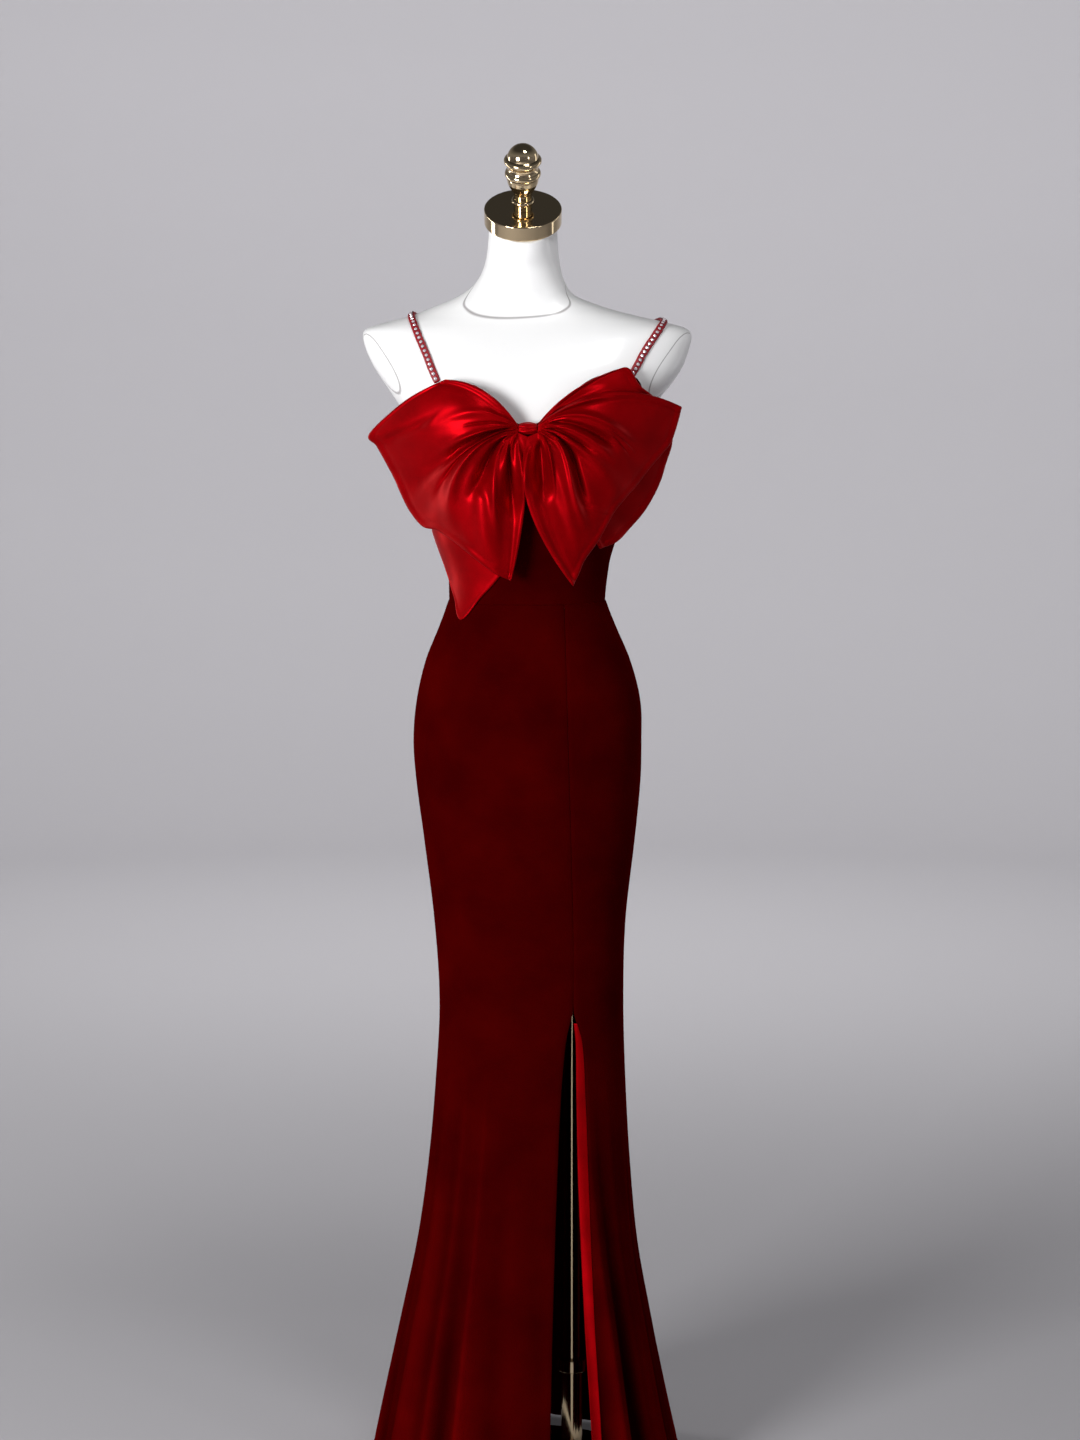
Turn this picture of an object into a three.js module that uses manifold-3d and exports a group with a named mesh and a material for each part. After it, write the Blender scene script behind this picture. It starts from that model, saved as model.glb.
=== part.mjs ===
// Mermaid evening dress with a large satin bow, on a limbless dress form with a round stand.
// Millimetres, +Z up. The front of the dress faces -Y, and the origin is on the floor under the form.

import * as THREE from 'three';
import { mergeVertices } from 'three/addons/utils/BufferGeometryUtils.js';
import loadManifold from 'manifold-3d';

const manifold = await loadManifold();
manifold.setup();
const { CrossSection, Manifold } = manifold;

// Driving dimensions of the cloth
const VELVET = 2; // thickness of velvet with its backing
const SATIN = 1.8; // thickness of a folded satin layer
const EASE = 0.8; // air between the body shape and the cloth
const SLACK = 0.9; // how far the form lies inside the body shape under the cloth
const NECK_EASE = 3.4; // how far the top edge of the bodice stands away from the chest
const SEAM = 0.3; // distance between two pieces at a seam
const HEM = 12; // height of the hem above the floor at the front
const BACK_HEM = 3; // the hem drops a little towards the centre back
const WAIST = 1154; // height of the waist seam
const FORM_BOTTOM = 800; // the form ends at the hips
const FLARE_TOP = 560; // the folds of the skirt start here and grow down to the hem
const SLIT_TOP = 632;
const FACING_TOP = 616; // the facing of the slit narrows to a point here
const BACK_NECK = 1290; // top edge of the bodice at the centre back

// Driving dimensions of the stand
const BASE = { radius: 155, thickness: 8, edge: 3 };
const POLE = { x: 59, radius: 11, bottom: 20 };
const TUBE = { radius: 14, flats: 11.4, sides: 8, bottom: BASE.thickness + SEAM, top: 151 };
const COLLAR = { radius: 19, height: 16 };
const SCREW = { radius: 3, length: 14, knobRadius: 8, knobLength: 9 };
const RING = { radius: 32, thickness: 8 };

// Driving dimensions of the neck cap and the finial
const NECK = { x: -4.5, y: -13, height: 1633, tilt: THREE.MathUtils.degToRad(32), tiltStart: 1552 };
const CAP = { radius: 49, thickness: 20, edge: 1.5 };
const FINIAL = { dome: 19.9, domeMiddle: 69.6, ring: 23.7, stem: 11.3, cup: 19.4 };

// A short table: the first text names the columns, and each row is one section, fold or line of cloth.
const table = (columns, ...rows) =>
  rows.map((row) => Object.fromEntries(columns.split(' ').map((name, i) => [name, row[i]])));

// Horizontal sections of the body shape: how far it reaches to each side of the Z axis, and how square
// the section is (2 is an ellipse). Below FORM_BOTTOM it is only the inside of the skirt.
const BODY = table('height left right front back square',
  [HEM, 199.5, 196.5, 173, 213, 2],
  [94, 183.8, 179.5, 159, 197, 2],
  [202, 162.1, 159.2, 140, 171, 2],
  [310, 140.6, 140.4, 119, 143, 2],
  [418, 125.7, 130.8, 101, 119, 2.05],
  [525, 116.1, 125.3, 89, 101, 2.1],
  [631, 110.5, 122.3, 84, 95, 2.2],
  [737, 116.6, 124.6, 87, 99, 2.2],
  [842, 129.2, 136, 92, 107, 2.2],
  [920, 139.2, 143.4, 94, 115, 2.2],
  [973, 142.8, 144.5, 94, 117, 2.2],
  [1024, 138.7, 143.1, 92, 113, 2.2],
  [1076, 126.9, 130, 87, 102, 2.2],
  [1120, 109.3, 111.3, 81, 89, 2.2],
  [WAIST, 97.6, 98.6, 77, 81, 2.2],
  [1169, 97, 98.9, 78, 80.3, 2.2],
  [1187, 98, 101, 81, 81, 2.2],
  [1208, 102.5, 104.5, 86, 83, 2.2],
  [1249, 116, 117, 98, 88, 2.2],
  [1300, 129, 130, 106, 93, 2.2],
  [1345, 135.5, 136, 109, 96, 2.25],
  [1375, 141, 142, 107, 97, 2.3],
  [1404, 163, 164, 103, 97.5, 2.5],
  [1427, 178, 182, 98, 98, 2.6],
  [1450, 193, 197.5, 89, 97, 2.6],
  [1473, 204, 206, 76, 92, 2.6],
  [1490, 208, 209.5, 65, 84, 2.6],
  [1500, 203, 203, 58, 76, 2.5],
  [1508, 178, 176, 52.5, 68, 2.4],
  [1516, 148, 140, 48, 62, 2.3],
  [1526, 121, 102, 44, 57, 2.15],
  [1541, 86, 63, 41.5, 52, 2.05],
  [1556, 66, 50, 43, 49, 2],
  [1579, 53, 42.5, 46, 45, 2],
  [1606, 48.5, 39.5, 52, 38, 2],
  [NECK.height, 48, 39, 57, 31, 2]);

// Soft lengthwise folds of the flared skirt. The angle turns from the front (0) to the right (90) and the
// back (180). The rise is how far the fold stands out, or lies in where it is below 0, at the hem.
const FOLDS = table('angle width rise',
  [-104, 9, 9], [-80, 8, -5], [-66, 7, 5], [-53, 6, 9], [-41, 6, -9], [-28, 6, 9],
  [34, 6, -9], [45, 6, 8], [57, 6, -9], [69, 7, 6], [84, 8, -5], [105, 8, 9],
  [121, 8, -9], [138, 9, 11], [158, 9, -10], [180, 9, 11],
  [-158, 9, -10], [-138, 9, 11], [-121, 8, -9]);

// The two soft cups under the bodice
const CUP = { angle: 38, width: 20, height: 1335, tall: 50, rise: 11 };

// Top edge of the bodice around the body
const NECKLINE = table('angle height',
  [-180, BACK_NECK], [-142, BACK_NECK + 6], [-115, 1312], [-90, 1345], [-72, 1374], [-64, 1388], [-56, 1420],
  [-46, 1432], [-30, 1413], [-12, 1388], [0, 1380], [12, 1388], [30, 1422],
  [45, 1441], [59, 1440], [66, 1396], [74, 1372], [90, 1345], [115, 1312], [142, BACK_NECK + 6],
  [180, BACK_NECK]);

// The seam right of the middle of the skirt opens into the slit below SLIT_TOP. The three columns are the
// edge of the front panel, and the inner and outer edge of the turned facing.
const SLIT = table('height front inner outer',
  [HEM, 28.5, 87, 97.5],
  [97, 29.5, 83, 93.2],
  [240, 32.5, 74, 84.5],
  [399, 37.4, 66.6, 77.6],
  [520, 42.5, 64, 73],
  [590, 48.5, 63, 69],
  [FACING_TOP, 53.6, 60.2, 62.6],
  [SLIT_TOP, 57.6, 58.2, 58.7],
  [760, 57, 57.3, 57.6],
  [WAIST, 46, 46.3, 46.6]);

// Each satin sheet of the bow is a fan of lines from the knot. A line leaves the knot, is drawn towards
// its middle handle and ends at the edge of the sheet. The fold is the rise of the cloth on that line.
const BOW_LEFT = table('x y z handleX handleY handleZ fold',
  [-101, -107, 1437, -47, -132, 1437, 3],
  [-129, -100, 1424, -62, -146, 1425, -1],
  [-160, -84, 1404, -74, -154, 1414, 3],
  [-198, -60, 1368, -84, -160, 1400, 1],
  [-189, -56, 1353, -86, -162, 1388, 2],
  [-178, -54, 1333, -84, -162, 1380, 5],
  [-167, -53, 1312, -80, -160, 1374, 1],
  [-158, -53, 1291, -76, -158, 1368, -9],
  [-147, -55, 1270, -86, -160, 1366, 2],
  [-131, -62, 1252, -98, -158, 1362, 7],
  [-112, -82, 1248, -98, -156, 1350, 8],
  [-89, -100, 1234, -88, -154, 1345, 2],
  [-69, -110, 1219, -68, -152, 1335, -9],
  [-43, -117, 1199, -46, -152, 1318, 7],
  [-30, -120, 1192, -26, -152, 1302, -8],
  [-19, -122, 1187, 3, -150, 1275, 4]);

const BOW_RIGHT = table('x y z handleX handleY handleZ fold',
  [195, -62, 1402, 96, -136, 1451, 4],
  [190, -62, 1382, 98, -152, 1428, -3],
  [182, -62, 1358, 96, -160, 1412, 2],
  [172, -64, 1345, 92, -162, 1398, 5],
  [161, -68, 1333, 88, -162, 1386, 0],
  [149, -74, 1318, 84, -162, 1376, 3],
  [137, -82, 1303, 82, -162, 1366, -1],
  [123, -94, 1288, 80, -160, 1360, 3],
  [109, -104, 1271, 74, -158, 1354, -8],
  [91, -112, 1239, 62, -158, 1340, 3],
  [73, -120, 1214, 44, -158, 1325, 8],
  [66, -124, 1198, 24, -158, 1308, -8],
  [58, -128, 1182, -24, -154, 1290, 5]);

const BOW_BACK = table('x y z handleX handleY handleZ fold',
  [110, -104, 1449, 48, -126, 1427, 2],
  [127, -98, 1451, 62, -129, 1424, -1],
  [141, -90, 1430, 76, -132, 1414, 2],
  [160, -74, 1414, 84, -134, 1408, 0],
  [180, -55, 1386, 88, -136, 1394, 1],
  [184, -48, 1358, 88, -136, 1378, 0],
  [176, -46, 1330, 86, -136, 1362, 2],
  [170, -46, 1310, 84, -134, 1350, 0],
  [161, -46, 1290, 80, -132, 1338, 1],
  [148, -50, 1269, 74, -130, 1328, 0],
  [131, -58, 1250, 66, -128, 1318, 1],
  [114, -76, 1234, 58, -126, 1310, 0],
  [92, -92, 1226, 48, -124, 1304, 0]);

// Where the lines of each sheet leave the knot: the first and the last one, and how thick the gather is.
const KNOT = { x: 2, y: -122.9, z: 1377, halfWidth: 11.5, halfDepth: 12, halfHeight: 7.5 };
const GATHER = {
  left: { first: [-10.4, -129, 1381], last: [-10.4, -131, 1371] },
  right: { first: [14.4, -129, 1381], last: [14.4, -131, 1371] },
  back: { first: [14.4, -119, 1382], last: [14.4, -119, 1372] },
};

// The under tail lies on the bodice: where it is cut around the body, and its top and bottom edges.
const UNDER_TAIL = table('angle top bottom',
  [-86, 1252, 1240], [-78, 1258, 1200], [-67, 1264, 1163], [-55, 1268, 1134],
  [-41, 1268, 1160], [-28, 1268, 1180], [-17, 1268, 1200]);

// The straps run from the neckline over the shoulders to the back of the bodice.
const STRAP_LEFT = table('x y z',
  [-114, -95, 1437], [-120, -93, 1452], [-132, -80, 1485], [-147, -20, 1519],
  [-145, 30, 1519], [-132, 82, 1470], [-112, 97, 1390], [-96, 97, 1302]);
const STRAP_RIGHT = table('x y z',
  [135, -92, 1446], [142, -88, 1460], [156, -74, 1488], [174, -20, 1510],
  [168, 30, 1513], [148, 80, 1468], [122, 97, 1390], [102, 97, 1302]);
const STRAP = { width: 7.5, thickness: 2.4, steps: 30 };

// The zip's slider sits at the top of the centre back. Its bridge is an arch over the top bar of the pull,
// so the pull hangs from the bridge and can be lifted. The bridge's sizes are taken from the pull's axis.
const SLIDER = { width: 5.2, thickness: 1.8, height: 9, z: 1276 };
const BRIDGE = { width: 2, inner: 1.1, outer: 2.1, out: 1.3, up: 1.2 };
const PULL = { topHalf: 2.4, endRadius: 1.7, thickness: 1.1, length: 24, holeHalf: 1.35, holeEnd: 3.4 };

const degrees = THREE.MathUtils.degToRad;
const mix = THREE.MathUtils.lerp;

// A smooth curve through one column of a table, read at a height or an angle.
function along(rows, key, at, column) {
  const last = rows.length - 1;
  let i = 0;
  while (i < last - 1 && rows[i + 1][key] <= at) i += 1;
  const slope = (j) => {
    const low = rows[Math.max(j - 1, 0)];
    const high = rows[Math.min(j + 1, last)];
    return (high[column] - low[column]) / (high[key] - low[key]);
  };
  const span = rows[i + 1][key] - rows[i][key];
  const t = THREE.MathUtils.clamp((at - rows[i][key]) / span, 0, 1);
  const rise = 3 * t ** 2 - 2 * t ** 3;
  const start = (t ** 3 - 2 * t ** 2 + t) * span;
  const end = (t ** 3 - t ** 2) * span;
  return mix(rows[i][column], rows[i + 1][column], rise) + start * slope(i) + end * slope(i + 1);
}

// The row that lies at a fraction of a table's length, with every column smoothed.
function rowAt(rows, fraction) {
  const numbered = rows.map((row, index) => ({ index, ...row }));
  const at = fraction * (rows.length - 1);
  return Object.fromEntries(Object.keys(rows[0]).map((name) => [name, along(numbered, 'index', at, name)]));
}

const bell = (offset, width) => Math.exp(-((offset / width) ** 2));

// The shorter way around between two angles in degrees.
const turn = (from, to) => ((to - from + 540) % 360) - 180;

// How far the body shape reaches from the Z axis in a direction, at a height.
function reach(angle, height) {
  const read = (column) => along(BODY, 'height', height, column);
  const sideways = Math.abs(Math.sin(angle)) / read(Math.sin(angle) > 0 ? 'right' : 'left');
  const onwards = Math.abs(Math.cos(angle)) / read(Math.cos(angle) > 0 ? 'front' : 'back');
  const square = read('square');
  const plain = (sideways ** square + onwards ** square) ** (-1 / square);
  const around = THREE.MathUtils.radToDeg(angle);
  const cup = CUP.rise * bell(Math.abs(around) - CUP.angle, CUP.width) * bell(height - CUP.height, CUP.tall);
  const flare = THREE.MathUtils.clamp((FLARE_TOP - height) / (FLARE_TOP - HEM), 0, 1) ** 1.5;
  const folds = FOLDS.reduce((sum, fold) => sum + fold.rise * bell(turn(fold.angle, around), fold.width), 0);
  return plain + cup + flare * folds;
}

// A point of the body shape, moved out by some millimetres.
function onBody(angle, height, out) {
  const radius = reach(angle, height) + out;
  return new THREE.Vector3(radius * Math.sin(angle), -radius * Math.cos(angle), height);
}

// The direction in which a section of the front reaches a given X.
function angleAt(x, height) {
  let low = degrees(-88);
  let high = degrees(88);
  for (let step = 0; step < 40; step += 1) {
    const middle = (low + high) / 2;
    if (onBody(middle, height, 0).x < x) low = middle;
    else high = middle;
  }
  return (low + high) / 2;
}

// How far a point lies outside the body shape, and the direction away from it.
function offBody(point) {
  const gap = (p) => Math.hypot(p.x, p.y) - reach(Math.atan2(p.x, -p.y), p.z);
  const step = 0.5;
  const out = new THREE.Vector3(...['x', 'y', 'z'].map((axis) => {
    const ahead = point.clone();
    const behind = point.clone();
    ahead[axis] += step;
    behind[axis] -= step;
    return (gap(ahead) - gap(behind)) / (2 * step);
  }));
  const steepness = out.length();
  return { distance: gap(point) / steepness, out: out.divideScalar(steepness) };
}

// A point moved along that direction until it lies a given distance outside the body shape.
function seated(point, distance) {
  for (let step = 0; step < 6; step += 1) {
    const now = offBody(point);
    point.addScaledVector(now.out, distance - now.distance);
  }
  return point;
}

// A point that is nearer than the least distance is moved out, softly, and the rest stay.
function keptOff(point, least) {
  const softness = 2.5;
  const { distance, out } = offBody(point);
  const moved = least + softness * Math.log1p(Math.exp((distance - least) / softness));
  return distance > least + 30 ? point : point.addScaledVector(out, moved - distance);
}

// A closed mesh from points and triangles, with its faces pointing out.
function closed(points, faces) {
  const geometry = new THREE.BufferGeometry();
  const places = points.flatMap((p) => [p.x, p.y, p.z]);
  geometry.setAttribute('position', new THREE.Float32BufferAttribute(places, 3));
  let volume = 0;
  for (let i = 0; i < faces.length; i += 3) {
    const [a, b, c] = [points[faces[i]], points[faces[i + 1]], points[faces[i + 2]]];
    volume += a.dot(b.clone().cross(c));
  }
  geometry.setIndex(volume > 0 ? faces : faces.toReversed());
  const welded = mergeVertices(geometry, 1e-4);
  welded.computeVertexNormals();
  return welded;
}

// A wall of cloth from two grids of points, its outer and its inner face, closed along its four edges.
function wall(outer, inner) {
  const rows = outer.length;
  const columns = outer[0].length;
  const points = [...outer.flat(), ...inner.flat()];
  const at = (side, row, column) => (side * rows + row) * columns + column;
  const faces = [];
  const quad = (a, b, c, d) => faces.push(a, b, c, a, c, d);
  for (let r = 0; r < rows - 1; r += 1) {
    for (let c = 0; c < columns - 1; c += 1) {
      quad(at(0, r, c), at(0, r, c + 1), at(0, r + 1, c + 1), at(0, r + 1, c));
      quad(at(1, r, c), at(1, r + 1, c), at(1, r + 1, c + 1), at(1, r, c + 1));
    }
    quad(at(0, r, 0), at(0, r + 1, 0), at(1, r + 1, 0), at(1, r, 0));
    quad(at(0, r, columns - 1), at(1, r, columns - 1), at(1, r + 1, columns - 1), at(0, r + 1, columns - 1));
  }
  for (let c = 0; c < columns - 1; c += 1) {
    quad(at(0, 0, c), at(1, 0, c), at(1, 0, c + 1), at(0, 0, c + 1));
    quad(at(0, rows - 1, c), at(0, rows - 1, c + 1), at(1, rows - 1, c + 1), at(1, rows - 1, c));
  }
  return closed(points, faces);
}

// A grid of points from a function of two fractions.
function grid(rows, columns, place) {
  return Array.from({ length: rows + 1 }, (_, r) =>
    Array.from({ length: columns + 1 }, (__, c) => place(r / rows, c / columns)));
}

// Heights at which both the form and the skirt have a section, so that their facets are parallel.
function sectionHeights(bottom, top) {
  const steps = [];
  for (let i = 0; i < BODY.length - 1; i += 1) {
    const [low, high] = [BODY[i].height, BODY[i + 1].height];
    const parts = high - low > 106.5 ? 2 : 1;
    for (let part = 0; part < parts; part += 1) steps.push(mix(low, high, part / parts));
  }
  return [bottom, ...steps.filter((height) => height > bottom + 4 && height < top - 4), top];
}

// A solid of closed rings with a flat lid on its first and last ring.
function ringed(rings) {
  const count = rings[0].length;
  const middle = (ring) => ring.reduce((sum, p) => sum.add(p), new THREE.Vector3()).divideScalar(count);
  const points = [...rings.flat(), middle(rings[0]), middle(rings.at(-1))];
  const faces = [];
  for (let c = 0; c < count; c += 1) {
    const next = (c + 1) % count;
    for (let r = 0; r < rings.length - 1; r += 1) {
      const [a, b] = [r * count + c, r * count + next];
      faces.push(a, b, b + count, a, b + count, a + count);
    }
    const top = (rings.length - 1) * count;
    faces.push(points.length - 2, next, c, points.length - 1, top + c, top + next);
  }
  return closed(points, faces);
}

// The profile of a flat disc with bevelled rims.
const discProfile = ({ radius, thickness, edge }) => [
  [0, 0], [radius - edge, 0], [radius, edge],
  [radius, thickness - edge], [radius - edge, thickness], [0, thickness],
];

// A turned part: a profile of radius and height pairs, revolved about Z.
function turned(profile, segments) {
  const points = profile.map(([radius, height]) => new THREE.Vector2(radius, height));
  const geometry = new THREE.LatheGeometry(points, segments);
  geometry.deleteAttribute('normal');
  geometry.deleteAttribute('uv');
  geometry.rotateX(Math.PI / 2);
  const welded = mergeVertices(geometry, 1e-4);
  return closed(pointsOf(welded), facesOf(welded));
}

const pointsOf = (geometry) => {
  const position = geometry.getAttribute('position');
  const indices = Array.from({ length: position.count }, (_, i) => i);
  return indices.map((i) => new THREE.Vector3().fromBufferAttribute(position, i));
};

// The triangles of a geometry, without those that have no area.
function facesOf(geometry) {
  const index = [...geometry.getIndex().array];
  const faces = [];
  for (let i = 0; i < index.length; i += 3) {
    const [a, b, c] = index.slice(i, i + 3);
    if (a !== b && b !== c && c !== a) faces.push(a, b, c);
  }
  return faces;
}

const model = new THREE.Group();

function add(name, geometry, material, parent = model) {
  const mesh = new THREE.Mesh(geometry, material.clone());
  mesh.name = name;
  parent.add(mesh);
  return mesh;
}

const FINISH = {
  velvet: new THREE.MeshStandardMaterial({ color: 0x4a0203, roughness: 0.85, metalness: 0 }),
  satin: new THREE.MeshStandardMaterial({ color: 0x9c0613, roughness: 0.35, metalness: 0 }),
  form: new THREE.MeshStandardMaterial({ color: 0xf2f1f0, roughness: 0.25, metalness: 0 }),
  gold: new THREE.MeshStandardMaterial({ color: 0xc9a878, roughness: 0.15, metalness: 1 }),
  strap: new THREE.MeshStandardMaterial({ color: 0xa50b1c, roughness: 0.5, metalness: 0 }),
  zip: new THREE.MeshStandardMaterial({ color: 0x5a0a0c, roughness: 0.4, metalness: 1 }),
};

// The limbless form, with its neck leaning into the tilted cap
function addForm() {
  const segments = 40;
  const shoulder = 6; // rounding of the lower edge
  const heights = [FORM_BOTTOM + shoulder, ...sectionHeights(FORM_BOTTOM + shoulder, NECK.height).slice(1)];
  const ring = (height, out) => Array.from({ length: segments }, (_, i) => {
    const point = onBody((i / segments) * 2 * Math.PI - Math.PI, height, out);
    const lean = THREE.MathUtils.smoothstep(height, NECK.tiltStart, NECK.height);
    point.z += lean * Math.tan(NECK.tilt) * (point.y - NECK.y);
    return point;
  });
  const low = ring(FORM_BOTTOM + shoulder, -shoulder).map((p) => p.setZ(FORM_BOTTOM));
  const rings = heights.map((height) => ring(height, height < 1440 ? -SLACK : 0));
  add('form_torso', ringed([low, ...rings]), FINISH.form);
}

// The polished cap on the neck and the turned finial on its middle, both square to the tilted neck
function addCap() {
  const tilted = new THREE.Group();
  tilted.position.set(NECK.x, NECK.y, NECK.height);
  tilted.rotation.x = NECK.tilt;
  model.add(tilted);
  const cap = add('neck_cap', turned(discProfile(CAP), 36), FINISH.gold, tilted);
  cap.position.z = SEAM;
  const { dome, domeMiddle, ring, stem, cup } = FINIAL;
  const round = Array.from({ length: 6 }, (_, i) => {
    const angle = degrees(15 + i * 15);
    return [i < 5 ? dome * Math.cos(angle) : 0, domeMiddle + dome * Math.sin(angle)];
  });
  const finial = add('finial', turned([
    [0, 0], [stem, 0], [stem, 8], [stem + 3.2, 9.5], [stem + 3.2, 12], [stem, 13.5], [stem, 22],
    [stem + 2, 25.3], [stem + 4.7, 30], [cup, 37], [cup + 0.5, 41],
    [ring - 1.4, 46], [ring - 1, 50], [ring - 2, 54],
    [cup - 0.7, 58.4], [cup + 1.2, 62], [ring, 66.5], [ring, 70.5], [dome + 0.4, 73], ...round,
  ], 16), FINISH.gold, tilted);
  finial.position.z = SEAM + CAP.thickness + SEAM;
}

// The skirt hangs from the waist seam. Its panels share the sections of the form.
function addSkirt() {
  const proud = 0.6;
  const heights = [...sectionHeights(HEM, WAIST - SEAM), 590, FACING_TOP].sort((a, b) => a - b);
  const drop = (angle) => THREE.MathUtils.smoothstep(Math.abs(angle), degrees(95), degrees(150));
  const hem = (angle) => mix(HEM, BACK_HEM, drop(angle));
  const panel = (name, columns, from, to) => {
    const face = (out) => heights.map((height, row) =>
      Array.from({ length: columns + 1 }, (_, c) => {
        const angle = mix(from(height), to(height), c / columns);
        return onBody(angle, row === 0 ? hem(angle) : height, out);
      }));
    add(name, wall(face(EASE + VELVET + proud), face(EASE + proud)), FINISH.velvet);
  };
  const seam = (height, column) => angleAt(along(SLIT, 'height', height, column), height);
  const half = (angle, side) => () => degrees(angle) + (side * SEAM) / 2 / 100;
  panel('skirt_front', 20, half(-90, 1), (height) => seam(height, 'front'));
  panel('skirt_side_front_right', 11, (height) => seam(height, 'outer') + (SEAM * 1.2) / 100, half(90, -1));
  panel('skirt_back_right', 16, half(90, 1), half(180, -1));
  panel('skirt_back_left', 16, half(-180, 1), half(-90, -1));

  // The facing fills the turned edge of the slit, narrows to a point at its top and dips a little behind
  // the panel's face.
  const facingHeights = heights.filter((height) => height <= FACING_TOP);
  const facing = (out) => facingHeights.map((height) => [0, 0.5, 1].map((across) => {
    const angle = mix(seam(height, 'inner'), seam(height, 'outer'), across);
    return onBody(angle, height, out + proud - 2.5 * (1 - across) ** 2);
  }));
  add('slit_facing', wall(facing(EASE + VELVET), facing(EASE + 0.4)), FINISH.satin);
}

// The bodice runs from the waist seam up to the neckline, which rises over the cups and drops at the back.
function addBodice() {
  const panel = (name, columns, from, to) => {
    const face = (out) => grid(10, columns, (up, across) => {
      const angle = mix(from, to, across);
      const top = along(NECKLINE, 'angle', THREE.MathUtils.radToDeg(angle), 'height');
      const height = mix(WAIST, top, up);
      return onBody(angle, height, out + NECK_EASE * THREE.MathUtils.smoothstep(height, 1370, 1400));
    });
    add(name, wall(face(EASE + VELVET), face(EASE)), FINISH.velvet);
  };
  const gap = SEAM / 2 / 100;
  panel('bodice_front', 28, degrees(-90) + gap, degrees(90) - gap);
  panel('bodice_back_right', 11, degrees(90) + gap, degrees(180) - gap);
  panel('bodice_back_left', 11, degrees(-180) + gap, degrees(-90) - gap);
}

// One satin sheet of the bow: lines from the knot to the edge, with folds that fade towards the edge.
function sheet(lines, start, columns, least) {
  const front = grid(9, columns, (out, across) => {
    const line = rowAt(lines, across);
    const from = new THREE.Vector3(...start.first).lerp(new THREE.Vector3(...start.last), across);
    const handle = new THREE.Vector3(line.handleX, line.handleY, line.handleZ);
    const end = new THREE.Vector3(line.x, line.y, line.z);
    const point = new THREE.QuadraticBezierCurve3(from, handle, end).getPoint(out);
    point.y -= line.fold * 2.2 * out ** 0.7 * (1 - out) ** 1.3;
    return keptOff(point, least);
  });
  const back = front.map((row) => row.map((point) => {
    const depth = SATIN * 1.25;
    return point.clone().setY(point.y + depth);
  }));
  return wall(front, back);
}

function addBow() {
  const onBodice = EASE + VELVET + SEAM;
  add('bow_left', sheet(BOW_LEFT, GATHER.left, 38, onBodice + 7), FINISH.satin);
  add('bow_right', sheet(BOW_RIGHT, GATHER.right, 32, onBodice + 10), FINISH.satin);
  add('bow_back', sheet(BOW_BACK, GATHER.back, 20, onBodice + 4), FINISH.satin);

  const tail = (out) => grid(6, 12, (down, across) => {
    const cut = rowAt(UNDER_TAIL, across);
    const height = mix(cut.top, cut.bottom, down);
    const lift = 1.6 + 3 * bell(cut.angle + 66, 16) * bell(height - 1225, 30);
    return onBody(degrees(cut.angle), height, EASE + VELVET + lift + out);
  });
  add('tail_under_left', wall(tail(SATIN), tail(0.2)), FINISH.satin);

  // The knot: a gathered band, rounder at its waist than at its ends
  const { x, y, z, halfWidth, halfDepth, halfHeight } = KNOT;
  const rings = Array.from({ length: 9 }, (_, r) => {
    const across = r / 4 - 1;
    const size = Math.sqrt(1 - 0.45 * across ** 2);
    return Array.from({ length: 16 }, (__, i) => {
      const angle = (i / 16) * 2 * Math.PI;
      const depth = halfDepth * size * Math.cos(angle);
      return new THREE.Vector3(x + halfWidth * across, y + depth, z + halfHeight * size * Math.sin(angle));
    });
  });
  add('bow_knot', ringed(rings), FINISH.satin);
}

// A narrow strap that lies on the form, from the front neckline over the shoulder to the back.
function addStrap(name, route) {
  const curve = new THREE.CatmullRomCurve3(route.map(({ x, y, z }) => new THREE.Vector3(x, y, z)));
  const middle = curve.getSpacedPoints(STRAP.steps).map((point) => seated(point, 0));
  const face = (rise) => middle.map((point, i) => {
    const { out } = offBody(point);
    const ahead = middle[Math.min(i + 1, STRAP.steps)].clone().sub(middle[Math.max(i - 1, 0)]);
    const side = ahead.cross(out).normalize();
    return [-1, 0, 1].map((across) => {
      const crown = rise > EASE ? 0.5 * (1 - Math.abs(across)) : 0;
      const place = point.clone().addScaledVector(side, (across * STRAP.width) / 2);
      return seated(place, rise + crown);
    });
  });
  add(name, wall(face(EASE + STRAP.thickness), face(EASE)), FINISH.strap);
}

// A solid of the manifold library as a closed geometry
function geometryOf(solid) {
  const { vertProperties, triVerts } = solid.getMesh();
  const point = (_, i) => new THREE.Vector3().fromArray(vertProperties, 3 * i);
  return closed(Array.from({ length: vertProperties.length / 3 }, point), [...triVerts]);
}

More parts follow.
